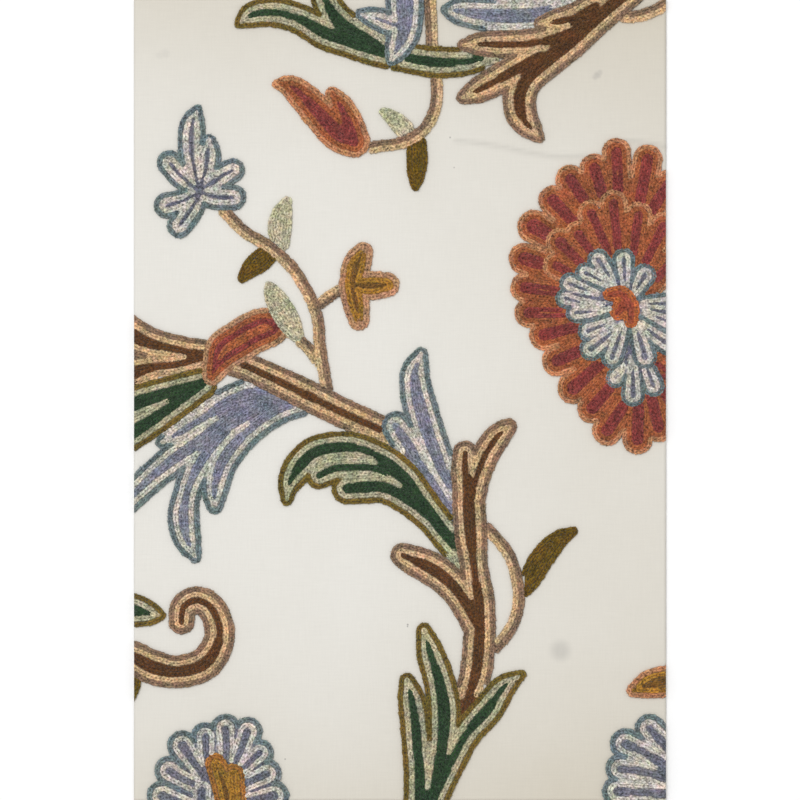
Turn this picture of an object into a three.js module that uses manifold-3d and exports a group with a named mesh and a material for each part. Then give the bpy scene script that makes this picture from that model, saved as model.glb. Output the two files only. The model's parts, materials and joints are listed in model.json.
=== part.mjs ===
// A crewel embroidery panel: a flat length of cotton ground cloth, and the wool fillings worked on it.
// Millimetres, +Z up. The origin is the middle of the underside, and +Y is the top of the design.
import * as THREE from "three";
import { mergeVertices } from "three/addons/utils/BufferGeometryUtils.js";
import Module from "manifold-3d";

const wasm = await Module();
wasm.setup();

// Driving dimensions
const PANEL_WIDTH = 265.5;
const PANEL_LENGTH = 400;
const CLOTH_THICKNESS = 1.2;
const CLOTH_WAVE = 0.08; // rise and fall of the ground's face about its thickness
const CLOTH_GRID = 16; // distance between points of the ground's face
const CREASE_HEIGHT = 0.2;
const CREASE_HALF = 2.5;
const WOOL_GAP = 0.3; // between two fillings, and between a filling and the ground
const WOOL_THICKNESS = 1;
const STEM_HALF = 3.1; // a stem is two rows of chain stitch side by side
const LEAST_HALF = 0.4; // a lobe's point is never narrower
const STATION_PARTS = 2; // straight parts between two stations of a bent lobe
const END_SIDES = 12; // sides of a lobe's round end
const LEAST_VOLUME = 15; // cubic millimetres of the smallest filling that is kept
const SHORTEST_EDGE = 0.12; // points of an outline that lie closer are left out
const STRAIGHT_WITHIN = 0.04; // points that stand off a straight line by less are left out
const CUT_REACH = 1; // how far a cutting shape passes the faces that it cuts
const MERGE_WITHIN = 1e-4; // points that lie closer are one point
const CREASE_END = 0.3; // width and height of the crease at its ends, as a share of its full ones

// The slow waves of the ground's face: the length of one radian of each along x and y, the angles
// where they start, and each one's share of the rise
const WAVE_ACROSS = { x: 31, y: 47, xStart: 0.7, yStart: -0.4, share: 0.55 };
const WAVE_ALONG = { x: 90, y: 26, share: 0.45 };

const CLOTH_TOP = CLOTH_THICKNESS + CLOTH_WAVE;
const WOOL_BOTTOM = CLOTH_TOP + WOOL_GAP;

// Wools, by the colour that covers most of a filling
const WOOLS = {
  bark: { color: 0x7a5238, roughness: 0.95 },
  stem: { color: 0xb0906e, roughness: 0.95 },
  leaf_green: { color: 0x3f5a3c, roughness: 0.95 },
  leaf_blue: { color: 0x8288a0, roughness: 0.95 },
  petal_blue: { color: 0xa9aeb0, roughness: 0.95 },
  rust: { color: 0xaf6237, roughness: 0.95 },
  orange: { color: 0xb95a23, roughness: 0.95 },
  gold: { color: 0xa5731e, roughness: 0.95 },
  sage: { color: 0xacac91, roughness: 0.95 },
  olive: { color: 0x624e0f, roughness: 0.95 },
};
const GROUND = { color: 0xe5e1d6, roughness: 0.9 };

// The soft crease that crosses the ground above the large flower, each row x, y
const CREASE = [
  [28, 129.5],
  [50, 126.7],
  [68, 123],
  [80, 121.6],
  [92, 122.2],
];

// The motifs, the front one of each crossing pair first.
// A lobe is a row of stations along its middle, with the columns x, y and half width.
// A stem's line has the columns x and y.
const MOTIFS = {
  rose_core: {
    wool: "orange",
    lobes: [
      [[104.5, 52.5, 3.6], [110.3, 52.7, 4.6], [114.6, 47.5, 4.7], [115.2, 39.5, 3.8]],
      [[108.5, 43.5, 4], [111.5, 47, 5.5]],
    ],
  },
  rose_rosette: {
    wool: "petal_blue",
    lobes: [
      [[111.5, 70, 6], [112.5, 56, 4.4]],
      [[99, 69.8, 5.9], [103, 64, 5.2], [107, 57, 4]],
      [[92.8, 63.2, 5.7], [99.5, 60, 4.9], [105, 56, 3.8]],
      [[84.8, 58, 5.7], [92.5, 55, 4.9], [101, 52, 3.8]],
      [[82.8, 50.7, 5.5], [91, 48.8, 4.7], [101, 48, 3.7]],
      [[88, 43.6, 5.6], [96.5, 44, 4.7], [104.5, 45.5, 3.8]],
      [[94.2, 34.6, 5.9], [101, 37.2, 5], [107, 40.5, 4]],
      [[95.4, 25.4, 6.2], [101.5, 30, 5.6], [108, 36, 4.2]],
      [[105.8, 21.5, 5.9], [108.5, 29, 5.5], [111.5, 38, 4.2]],
      [[122.3, 21.6, 6.2], [120, 29.5, 5.6], [117, 38, 4.2]],
      [[122, 62.3, 6], [119, 57, 5.2], [116.5, 52, 4]],
      [[137.5, 48, 6.2], [125, 48, 4.8], [119, 47.5, 3.9]],
      [[137.5, 37.5, 5.8], [127.5, 41.7, 4.8], [120, 44.7, 3.9]],
      [[137.5, 26, 6.3], [127.5, 32, 5.4], [120, 38.5, 4.1]],
    ],
  },
  rose_rosette_low: {
    wool: "petal_blue",
    lobes: [
      [[107.6, 11, 5.3], [111, 16.5, 4.2]],
      [[116.2, 2.6, 6.2], [116.2, 15, 5]],
      [[126.5, 7.2, 5.8], [122.5, 17, 4.8]],
      [[114.5, 25, 3], [115, 14, 3]],
    ],
  },
  rose_inner_petals: {
    wool: "rust",
    lobes: [
      [[106.5, 98, 7.2], [109, 72.5, 7]],
      [[119, 92, 7.2], [116, 71, 7]],
      [[131.5, 86.5, 7.5], [122.5, 69, 7]],
      [[95.5, 93, 7.2], [104, 74, 7]],
      [[89, 82.5, 7.2], [98, 70, 7]],
      [[80, 78.5, 7.7], [91, 67.5, 7]],
      [[78, 67, 7], [88, 62, 7]],
      [[136, 69, 7.2], [125, 57.5, 7]],
    ],
  },
  rose_outer_petals: {
    wool: "rust",
    lobes: [
      [[123.5, 120, 7.5], [120, 100, 7.5]],
      [[108, 123.5, 7.3], [109, 100, 7.5]],
      [[97, 115.5, 7.5], [102.5, 97.5, 7.5]],
      [[85, 110, 7.5], [95, 95, 7.5]],
      [[76.5, 99.5, 7.7], [90, 85, 7.5]],
      [[67, 86.5, 8.5], [82.5, 77.5, 7.5]],
      [[62, 70.5, 8], [80, 65, 7.5]],
      [[62.5, 56, 7.5], [82.5, 53.5, 7]],
      [[64.5, 43.5, 7.5], [85, 43.5, 7]],
      [[72, 32.5, 7.7], [90, 37, 7.5]],
      [[78.5, 19.5, 7.7], [94, 26.5, 7.5]],
      [[86.5, 6, 8], [101, 19, 7.5]],
      [[96, -4, 7.7], [107, 9, 7.5]],
      [[103.5, -15, 7.7], [113.5, 0, 7.5]],
      [[118.5, -19.5, 7.7], [119, 0, 7.5]],
      [[129, -13.5, 7.5], [125, 2.5, 7.5]],
      [[134, 107.5, 7.5], [124, 92.5, 7.5]],
      [[140, -7.5, 7.5], [131, 5, 7.5]],
      [[142, 5, 7.5], [128, 17, 7]],
    ],
  },
  blue_cluster: {
    wool: "leaf_blue",
    lobes: [
      [[2, 205, 10], [2.5, 192.5, 9.5], [1.5, 182.5, 8.5], [-1.5, 175, 6.5], [-4, 170, 3.5]],
      [[-19.5, 192.5, 3], [-12.5, 190.5, 5.7], [-2.5, 187, 6.5]],
    ],
  },
  red_bud_top: {
    wool: "rust",
    lobes: [
      [
        [-63, 158, 1.5], [-55, 156.5, 5.5], [-47.5, 150.5, 7.5], [-39, 141.5, 8.5],
        [-30, 132.5, 9], [-23, 129, 8],
      ],
      [[-33.5, 152.5, 4], [-29.5, 146, 6.5], [-26, 137.5, 8], [-23, 129, 8]],
    ],
  },
  branch_top: {
    wool: "bark",
    lobes: [
      [
        [71.5, 129, 1], [66.5, 134, 5], [61, 141.5, 7.7], [59.5, 150, 8.5], [62.5, 159, 8.5],
        [72.5, 169, 9], [85, 179, 9], [97.5, 190, 8.5], [109, 200, 8.5], [116, 206, 8.5],
      ],
      [[70, 188, 3.5], [77.5, 188.5, 6.5], [87.5, 191, 7.5], [97.5, 196, 8]],
      [
        [31.5, 177, 3], [40, 177.5, 6], [52.5, 177.3, 7.2], [67.5, 178.2, 7.5], [80, 181, 8],
        [92.5, 187, 8],
      ],
      [[31.5, 151, 3.5], [39, 154.5, 6.5], [47.5, 159, 7.5], [57.5, 164.5, 8], [70, 171.5, 8]],
    ],
  },
  blue_leaf_top: {
    wool: "leaf_blue",
    lobes: [
      [
        [22.5, 194.5, 2.5], [29, 194, 6.5], [40, 192.5, 8.3], [55, 191.5, 9], [70, 192.5, 9],
        [87.5, 198, 8.5], [100, 204, 7],
      ],
      [[35, 207, 7], [60, 204.5, 8.5], [85, 207, 8.5]],
    ],
  },
  green_leaf_top: {
    wool: "leaf_green",
    lobes: [
      [
        [-83, 185, 0], [-75, 191.5, 6], [-64, 193.5, 7.5], [-50, 190, 7.7], [-38, 183.5, 8.5],
        [-26, 179.5, 8.7], [-12, 174.5, 8.2], [2, 171, 7.7], [20, 168.5, 8], [37.5, 169.5, 6.5],
        [52.5, 174, 2.5],
      ],
      [[-39, 204, 7], [-34, 193.5, 8], [-27.5, 185.5, 9.2], [-17, 179.5, 8.8], [-8, 174, 8]],
    ],
  },
  stem_top: {
    wool: "stem",
    line: [
      [15, 202.5], [15.5, 187.5], [16.5, 170], [18.5, 156], [17, 144], [12, 135], [2.5, 129],
      [-14, 126],
    ],
  },
  sage_leaf_top: {
    wool: "sage",
    lobes: [
      [[-8.5, 144, 2], [-4, 141, 4], [2, 135.5, 5]],
    ],
  },
  olive_leaf_top: {
    wool: "olive",
    lobes: [
      [[8.5, 127.5, 5], [8.5, 120, 5.4], [8, 111.5, 4.3], [7.75, 106, 2]],
    ],
  },
  stem_corner: {
    wool: "stem",
    line: [[104, 192], [112.5, 191], [122.5, 192.5], [131, 196.5], [136, 200]],
  },
  small_flower: {
    wool: "petal_blue",
    lobes: [
      [[-101.3, 144.7, 2.7], [-103.5, 137.5, 6.3], [-104, 127.5, 7], [-103, 117.5, 6.5], [-100.5, 105, 5]],
      [[-95.5, 128.7, 4], [-96, 122.5, 6.8], [-97, 115, 6.5], [-100, 105, 5]],
      [[-83.3, 114.7, 6], [-89, 111.5, 6.5], [-94, 108.3, 6.8], [-100, 104.5, 5]],
      [[-83, 101, 6.4], [-90, 101.2, 6.7], [-95.5, 102.3, 6.6], [-100, 103.5, 5]],
      [[-110, 87, 6.3], [-105, 94, 6.5], [-100, 102, 5.5]],
      [[-116.3, 97, 6.6], [-110, 98.7, 6.2], [-100.5, 103, 5]],
      [[-115, 118.3, 6.3], [-110, 112.5, 6.4], [-101, 104.5, 5]],
    ],
  },
  gold_bud: {
    wool: "gold",
    lobes: [
      [[-18.3, 74.2, 4.8], [-21.5, 67.5, 7.2], [-23.8, 58, 6.9]],
      [[-20.5, 40, 5.3], [-22, 48, 6.8], [-23.8, 57, 6.9]],
      [[-6.5, 57.5, 6.3], [-15, 57, 7.3], [-24, 57.5, 6.5]],
    ],
  },
  sage_leaf_low: {
    wool: "sage",
    lobes: [
      [[-65.5, 58, 1.7], [-63.5, 53, 4.5], [-59.5, 46, 6], [-55, 38.5, 5.7], [-52, 33, 4]],
    ],
  },
  red_bud_left: {
    wool: "rust",
    lobes: [
      [
        [-94, 12, 5], [-90.6, 19.8, 8.1], [-87, 25, 10.2], [-80.6, 29.1, 10.5],
        [-73.7, 33.3, 10.5], [-65.5, 36, 9.6], [-59.5, 32.5, 3],
      ],
    ],
  },
  green_cluster: {
    wool: "leaf_green",
    lobes: [
      [
        [12, -115, 4], [15, -126, 7], [19.5, -140, 8], [22, -155, 8.7], [21.3, -170, 8.2],
        [18.5, -187.5, 8], [15, -205, 7.5],
      ],
      [[3.5, -140, 4], [6, -150, 7.1], [8, -165, 7.8], [8.9, -176, 7.8], [9.8, -187, 8], [10, -205, 8.5]],
      [
        [60.5, -137, 2.5], [52.5, -142.5, 6], [43.5, -154.5, 8], [33.3, -166.3, 7.6],
        [25.6, -180.4, 7.5], [17.5, -195, 8.5], [12.5, -206, 8.5],
      ],
    ],
  },
  branch_upright: {
    wool: "bark",
    lobes: [
      [[54, -13.5, 4.5], [48.5, -18.5, 6.5], [42.5, -27.5, 7], [38.5, -37.5, 7], [35, -48, 8]],
      [
        [32.5, -26.5, 6.3], [32.5, -35, 7.2], [34, -45, 8], [34.5, -55, 8.5], [35.5, -70, 8.2],
        [36.5, -80, 7.3], [37.8, -90, 7.6], [39, -97.5, 8], [39.7, -108, 8], [39.5, -120, 8.2],
        [37.5, -137.5, 8], [32, -152.5, 7], [27.5, -162.5, 6],
      ],
      [
        [1.5, -77.6, 6.4], [10, -81.3, 7.9], [17.5, -85.2, 8.4], [25, -91.2, 8.2], [30, -97, 8],
        [35, -105, 8], [38.5, -113, 7.5],
      ],
    ],
  },
  green_leaf_mid: {
    wool: "leaf_green",
    lobes: [
      [
        [-56.5, -50, 3], [-55.3, -42, 5.7], [-50.8, -34, 7.9], [-42.5, -26.2, 8.1], [-30, -23.5, 8],
        [-21, -24.1, 7.6], [-13, -26.9, 7.3], [-8.5, -30.2, 8.1], [-4.5, -33.6, 8.8],
        [3.5, -40.5, 8.3], [9.5, -47.5, 7.5], [14.5, -53.5, 6.8], [20.5, -61.5, 7],
      ],
      [
        [-40.3, -37.7, 6.8], [-32.5, -34.2, 7.6], [-22, -33.5, 7.5], [-13, -34, 7.1],
        [-6, -37.3, 5.8],
      ],
      [
        [-26.5, -44.3, 7.8], [-19, -43.5, 8.3], [-7.5, -43.7, 8.1], [4.4, -49.9, 8],
        [10, -54.5, 7.6], [16.1, -58.8, 8.2], [21.3, -65.1, 8.3], [26.4, -70.9, 8.2],
        [31, -77, 7.8], [35.5, -84.5, 7],
      ],
    ],
  },
  blue_leaf_mid: {
    wool: "leaf_blue",
    lobes: [
      [
        [10.5, 23, 3.5], [7.5, 14, 7.2], [8, 5, 8.3], [10.5, -5, 8.7], [14.3, -17.5, 8.7],
        [18.9, -29.5, 8.3], [21.1, -35.3, 7.9], [25.9, -43.2, 7.9], [29, -52, 7],
      ],
      [[-2, -13, 7.5], [3.5, -21.5, 8], [10, -31.8, 7.5], [18.2, -43.8, 7.4], [27, -58, 6.5]],
    ],
  },
  green_leaf_left: {
    wool: "leaf_green",
    lobes: [
      [[-99, 8, 8], [-115, 3.8, 8.2], [-133, -2, 9.1], [-143, -5.5, 9.8]],
      [[-99, 7, 7], [-115, -4.1, 7.9], [-133, -15.7, 8.8], [-143, -20.4, 9.7]],
    ],
  },
  branch_left: {
    wool: "bark",
    lobes: [
      [
        [-141, 38, 8.5], [-133, 32, 8.8], [-124, 28, 8], [-110, 25, 7.2], [-97.5, 22, 8],
        [-80, 18, 7], [-65, 11.5, 7.2], [-47.5, 3, 7.7], [-30, -5.7, 7.5], [-10, -14.7, 7.3],
        [-2, -18.3, 7.3],
      ],
      [[-141, 9, 9], [-133, 13.5, 8.8], [-125, 16, 7.8], [-110, 18, 7], [-97.5, 21.5, 7.5]],
    ],
  },
  stem_left: {
    wool: "stem",
    line: [
      [-89, 95.5], [-77.5, 84], [-64, 75.5], [-53.5, 65.5], [-45.5, 52.5], [-41, 40],
      [-40, 27.5], [-38.5, 17.5], [-36.5, 6],
    ],
  },
  stem_bud: {
    wool: "stem",
    line: [[-41, 47], [-36, 51], [-29, 55.5]],
  },
  stem_arch: {
    wool: "stem",
    line: [[-59, 34.5], [-50, 29.5], [-43, 22.5], [-40, 16]],
  },
  sage_leaf_mid: {
    wool: "sage",
    lobes: [
      [[-55.5, 101, 1.5], [-58.5, 94, 4.7], [-60, 86, 6], [-59.5, 78.5, 4.5]],
    ],
  },
  olive_leaf_mid: {
    wool: "olive",
    lobes: [
      [[-79.5, 60, 2], [-75, 65, 4.5], [-69.5, 69.5, 5.7], [-65.5, 73, 5]],
    ],
  },
  blue_leaf_left: {
    wool: "leaf_blue",
    lobes: [
      [
        [-118.5, -21, 3.5], [-110, -16.3, 6.8], [-98, -9, 7.2], [-86, -2, 8.8], [-72, 1.5, 10],
        [-58, -1, 8],
      ],
      [
        [-140, -53.5, 7.5], [-133, -47, 7.2], [-122.8, -37.6, 7.6], [-110.5, -27.8, 8.2],
        [-98.3, -20, 8.8], [-86, -11.5, 9.5], [-72, -3, 10],
      ],
      [
        [-102, -78.5, 3], [-106, -70, 6.8], [-108, -59, 8], [-106.5, -47.5, 7.2],
        [-101.3, -34, 7.8], [-94.7, -24, 8], [-86, -14, 8],
      ],
      [
        [-92.5, -52.5, 4.5], [-92.3, -44, 7], [-89.5, -32.5, 8], [-82.8, -22.3, 8],
        [-72, -12.5, 7.3], [-60, -4, 8], [-48, -1, 7],
      ],
    ],
  },
  stem_loop: {
    wool: "stem",
    line: [
      [42, -62.5], [50, -71.2], [55.3, -79.2], [58.3, -90], [59.2, -101.5], [55.5, -113.5],
      [48.5, -122.5], [45, -126],
    ],
  },
  olive_leaf_low: {
    wool: "olive",
    lobes: [
      [[87.5, -65, 2], [80, -69, 4.5], [71.5, -78, 6], [65.5, -88.5, 5.5], [63, -95, 3]],
    ],
  },
  scroll: {
    wool: "bark",
    lobes: [
      [
        [-140, -126, 8], [-133, -128.5, 8.2], [-122.5, -133.5, 8.7], [-111, -135.5, 8.2],
        [-97.5, -131.5, 8.4], [-90.5, -120.5, 7.7], [-91, -110, 7.4], [-96, -102, 7.1],
        [-102.5, -100, 7], [-108, -103.5, 6.8], [-109, -110.5, 6.5],
      ],
    ],
  },
  green_leaf_edge: {
    wool: "leaf_green",
    lobes: [
      [[-118.5, -107.5, 2], [-125, -106.5, 6], [-133, -105, 8.5], [-142, -104, 9]],
    ],
  },
  olive_leaf_edge: {
    wool: "olive",
    lobes: [
      [[-136, -132, 4], [-135, -140, 6], [-136, -148, 4]],
    ],
  },
  aster_left_eye: {
    wool: "orange",
    lobes: [
      [[-92, -181.3, 5.3], [-88.5, -190, 6.2], [-86, -199, 6.5]],
      [[-83, -187, 5.7], [-82, -199, 5.5]],
    ],
  },
  aster_left_petal: {
    wool: "petal_blue",
    lobes: [
      [[-98.8, -194.5, 4.9], [-99.3, -206, 4.9]],
    ],
  },
  aster_left: {
    wool: "petal_blue",
    lobes: [
      [[-118.5, -197.5, 7.8], [-105, -202.5, 7]],
      [[-115, -185, 7.5], [-107.5, -189.5, 7], [-97, -194, 7]],
      [[-108.5, -172.5, 7.8], [-103, -180.5, 7.2], [-96.5, -190, 7]],
      [[-97, -168, 7.4], [-96.5, -177.5, 6.8], [-95, -187.5, 6.8]],
      [[-87, -164, 7.5], [-86.5, -175, 7], [-87, -185, 6.5]],
      [[-76, -165.5, 7.5], [-79.5, -175, 7], [-84, -185, 6.5]],
      [[-70, -176, 7], [-77, -182.5, 6.8]],
      [[-66.5, -186.5, 7.5], [-77, -191.5, 7]],
      [[-63, -197.5, 7.8], [-75, -200, 7]],
    ],
  },
  aster_right: {
    wool: "petal_blue",
    lobes: [
      [[124.5, -164, 7.6], [132.5, -172.5, 7.8], [140, -181, 8]],
      [[112.5, -171.5, 7.8], [122.5, -176.3, 7.6], [135, -184, 8]],
      [[110, -184, 7.6], [122.5, -185.7, 7.6], [137.5, -190, 8]],
      [[108.5, -195.3, 7.8], [122.5, -196, 7.6], [137.5, -197, 8]],
      [[112, -207, 7.4], [125, -206, 7]],
    ],
  },
  gold_leaf_right: {
    wool: "gold",
    lobes: [
      [[116.5, -145, 3.5], [124, -142, 7], [132.5, -140.5, 8.2], [140, -140, 8.5]],
    ],
  },
};

// A closed three.js geometry as a solid for cutting and joining
function toSolid(geometry) {
  geometry.deleteAttribute("normal");
  geometry.deleteAttribute("uv");
  const merged = mergeVertices(geometry, MERGE_WITHIN);
  const triVerts = new Uint32Array(merged.index.array);
  const vertProperties = new Float32Array(merged.attributes.position.array);
  return new wasm.Manifold(new wasm.Mesh({ numProp: 3, vertProperties, triVerts }));
}

function toGeometry(solid) {
  const mesh = solid.getMesh();
  const geometry = new THREE.BufferGeometry();
  geometry.setAttribute("position", new THREE.BufferAttribute(new Float32Array(mesh.vertProperties), 3));
  geometry.setIndex(new THREE.BufferAttribute(new Uint32Array(mesh.triVerts), 1));
  const flat = geometry.toNonIndexed();
  flat.computeVertexNormals();
  return flat;
}

// An upright block whose outline is the given points, from one height to another
function block(points, bottom, top) {
  const shape = new THREE.Shape(points);
  const geometry = new THREE.ExtrudeGeometry(shape, { depth: top - bottom, bevelEnabled: false });
  geometry.translate(0, 0, bottom);
  return toSolid(geometry);
}

function joinAll(solids) {
  let level = solids;
  while (level.length > 1) {
    const next = [];
    for (let i = 0; i < level.length; i += 2) {
      next.push(i + 1 < level.length ? level[i].add(level[i + 1]) : level[i]);
    }
    level = next;
  }
  return level[0];
}

// The stations of a lobe, made denser where it bends
function denseStations(lobe) {
  const stations = lobe.map(([x, y, half]) => new THREE.Vector3(x, y, half));
  if (stations.length === 2) return stations;
  const curve = new THREE.CatmullRomCurve3(stations, false, "centripetal");
  return curve.getPoints((lobe.length - 1) * STATION_PARTS);
}

// The unit vector across a lobe at one of its stations
function across(stations, i) {
  const before = stations[Math.max(0, i - 1)];
  const after = stations[Math.min(stations.length - 1, i + 1)];
  return new THREE.Vector2(before.y - after.y, after.x - before.x).normalize();
}

// A many-sided disc round one station
function roundEnd(station, side, grow, bottom, top) {
  const half = Math.max(LEAST_HALF, station.z) + grow;
  const start = side.angle();
  const points = [];
  for (let k = 0; k < END_SIDES; k++) {
    const turn = start + (2 * Math.PI * k) / END_SIDES;
    points.push(new THREE.Vector2(station.x + half * Math.cos(turn), station.y + half * Math.sin(turn)));
  }
  return block(points, bottom, top);
}

function edgePoint(station, side, sign, grow) {
  const half = Math.max(LEAST_HALF, station.z) + grow;
  return new THREE.Vector2(station.x + sign * half * side.x, station.y + sign * half * side.y);
}

function isConvex(points) {
  return points.every((point, i) => {
    const next = points[(i + 1) % points.length];
    const after = points[(i + 2) % points.length];
    return next.clone().sub(point).cross(after.clone().sub(next)) > 0;
  });
}

// The stretch of a lobe between two stations. Where the bend is too tight for its sides to meet,
// it is square to its own direction, with a disc at each station.
function stretchSolids(stations, sides, i, grow, bottom, top) {
  const corners = (a, b) => [
    edgePoint(stations[i], a, -1, grow),
    edgePoint(stations[i + 1], b, -1, grow),
    edgePoint(stations[i + 1], b, 1, grow),
    edgePoint(stations[i], a, 1, grow),
  ];
  const outline = corners(sides[i], sides[i + 1]);
  if (isConvex(outline)) return [block(outline, bottom, top)];
  const own = across([stations[i], stations[i + 1]], 0);
  return [
    block(corners(own, own), bottom, top),
    roundEnd(stations[i], sides[i], grow, bottom, top),
    roundEnd(stations[i + 1], sides[i + 1], grow, bottom, top),
  ];
}

// One lobe as a solid: its stretches between stations, and its two round ends
function lobeSolid(lobe, grow, bottom, top) {
  const stations = denseStations(lobe);
  const sides = stations.map((station, i) => across(stations, i));
  const last = stations.length - 1;
  const solids = [
    roundEnd(stations[0], sides[0], grow, bottom, top),
    roundEnd(stations[last], sides[last], grow, bottom, top),
  ];
  for (let i = 0; i < last; i++) {
    solids.push(...stretchSolids(stations, sides, i, grow, bottom, top));
  }
  return joinAll(solids);
}

function motifSolid(motif, grow, bottom, top) {
  const lobes = motif.lobes ?? [motif.line.map(([x, y]) => [x, y, STEM_HALF])];
  return joinAll(lobes.map((lobe) => lobeSolid(lobe, grow, bottom, top)));
}

function rectangle(width, length) {
  const corners = [
    [-1, -1],
    [1, -1],
    [1, 1],
    [-1, 1],
  ];
  return corners.map(([x, y]) => new THREE.Vector2((x * width) / 2, (y * length) / 2));
}

// The ground's face rises and falls a little, as laid cotton does
function faceHeight(x, y) {
  const { xStart, yStart } = WAVE_ACROSS;
  const wide = Math.sin(x / WAVE_ACROSS.x + xStart) * Math.cos(y / WAVE_ACROSS.y + yStart);
  const long = Math.sin(y / WAVE_ALONG.y + x / WAVE_ALONG.x);
  return CLOTH_THICKNESS + CLOTH_WAVE * (WAVE_ACROSS.share * wide + WAVE_ALONG.share * long);
}

// The ground cloth: a flat underside, cut edges and a gently uneven face
function groundCloth() {
  const columns = Math.round(PANEL_WIDTH / CLOTH_GRID);
  const rows = Math.round(PANEL_LENGTH / CLOTH_GRID);
  const face = new THREE.PlaneGeometry(PANEL_WIDTH, PANEL_LENGTH, columns, rows);
  const position = face.getAttribute("position");
  for (let i = 0; i < position.count; i++) {
    position.setZ(i, faceHeight(position.getX(i), position.getY(i)));
  }
  return groundSolid(face, columns, rows).add(creaseSolid());
}

// Closes a face grid with walls down to a flat underside
function groundSolid(face, columns, rows) {
  const position = face.getAttribute("position");
  const wide = columns + 1;
  const rim = [];
  for (let c = 0; c < columns; c++) rim.push(c);
  for (let r = 0; r < rows; r++) rim.push(r * wide + columns);
  for (let c = columns; c > 0; c--) rim.push(rows * wide + c);
  for (let r = rows; r > 0; r--) rim.push(r * wide);
  const points = Array.from(position.array);
  const triangles = Array.from(face.index.array);
  const foot = position.count;
  for (const i of rim) points.push(position.getX(i), position.getY(i), 0);
  const middle = foot + rim.length;
  points.push(0, 0, 0);
  for (let k = 0; k < rim.length; k++) {
    const next = (k + 1) % rim.length;
    triangles.push(rim[k], rim[next], foot + next, rim[k], foot + next, foot + k);
    triangles.push(middle, foot + k, foot + next);
  }
  const geometry = new THREE.BufferGeometry();
  geometry.setAttribute("position", new THREE.Float32BufferAttribute(points, 3));
  geometry.setIndex(triangles);
  return toSolid(geometry);
}

// The crease: a low ridge with sloping sides that tapers to nothing at both ends
function creaseSolid() {
  const spine = CREASE.map(([x, y]) => new THREE.Vector3(x, y, 0));
  const points = [];
  spine.forEach((station, i) => {
    const side = across(spine, i);
    const isEnd = i === 0 || i === spine.length - 1;
    const taper = isEnd ? CREASE_END : 1;
    const half = CREASE_HALF * taper;
    const top = faceHeight(station.x, station.y) + CREASE_HEIGHT * taper;
    points.push(station.x + side.x * half, station.y + side.y * half, CLOTH_THICKNESS / 2);
    points.push(station.x, station.y, top);
    points.push(station.x - side.x * half, station.y - side.y * half, CLOTH_THICKNESS / 2);
  });
  const triangles = [0, 2, 1];
  for (let i = 0; i < spine.length - 1; i++) {
    for (let k = 0; k < 3; k++) {
      const a = 3 * i + k;
      const b = 3 * i + ((k + 1) % 3);
      triangles.push(a, b, b + 3, a, b + 3, a + 3);
    }
  }
  const end = 3 * (spine.length - 1);
  triangles.push(end, end + 1, end + 2);
  const geometry = new THREE.BufferGeometry();
  geometry.setAttribute("position", new THREE.Float32BufferAttribute(points, 3));
  geometry.setIndex(triangles);
  return toSolid(geometry);
}

function named(name, solid, { color, roughness }) {
  const material = new THREE.MeshStandardMaterial({ color, roughness, metalness: 0 });
  const mesh = new THREE.Mesh(toGeometry(solid), material);
  mesh.name = name;
  return mesh;
}

// The closed outlines of an upright solid's top face
function topLoops(solid, top) {
  const { vertProperties, triVerts, numProp } = solid.getMesh();
  const height = (v) => vertProperties[v * numProp + 2];
  const open = new Map();
  for (let t = 0; t < triVerts.length; t += 3) {
    const corners = [triVerts[t], triVerts[t + 1], triVerts[t + 2]];
    if (!corners.every((v) => height(v) > top - CUT_REACH / 2)) continue;
    corners.forEach((from, k) => {
      const to = corners[(k + 1) % 3];
      if (!open.delete(`${to} ${from}`)) open.set(`${from} ${to}`, [from, to]);
    });
  }
  const next = new Map(open.values());
  const loops = [];
  while (next.size > 0) {
    const loop = [];
    let [v] = next.keys();
    while (next.has(v)) {
      loop.push(new THREE.Vector2(vertProperties[v * numProp], vertProperties[v * numProp + 1]));
      const following = next.get(v);
      next.delete(v);
      v = following;
    }
    loops.push(loop);
  }
  return loops;
}

// How far a point lies from the line through two others
function offLine(point, from, to) {
  const chord = to.clone().sub(from);
  return Math.abs(chord.cross(point.clone().sub(from))) / chord.length();
}

// An outline without points that lie close together or on a straight line
function tidyLoop(loop) {
  const apart = [];
  for (const point of loop) {
    if (apart.length === 0 || point.distanceTo(apart.at(-1)) > SHORTEST_EDGE) apart.push(point);
  }
  const kept = [];
  let passed = [];
  apart.forEach((point, i) => {
    const from = kept.at(-1) ?? apart.at(-1);
    const to = apart[(i + 1) % apart.length];
    passed.push(point);
    if (passed.every((each) => offLine(each, from, to) < STRAIGHT_WITHIN)) return;
    kept.push(point);
    passed = [];
  });
  return kept;
}

// The same piece made again from its tidied outline, without the faces that its joins left
function cleanPiece(piece, bottom, top) {
  const loops = topLoops(piece, top).map(tidyLoop);
  const isOuter = (loop) => THREE.ShapeUtils.area(loop) > 0;
  const shape = new THREE.Shape(loops.find(isOuter));
  const holes = loops.filter((loop) => loop.length > 2 && !isOuter(loop));
  shape.holes = holes.map((loop) => new THREE.Path(loop));
  const geometry = new THREE.ExtrudeGeometry(shape, { depth: top - bottom, bevelEnabled: false });
  return toSolid(geometry.translate(0, 0, bottom));
}

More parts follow.
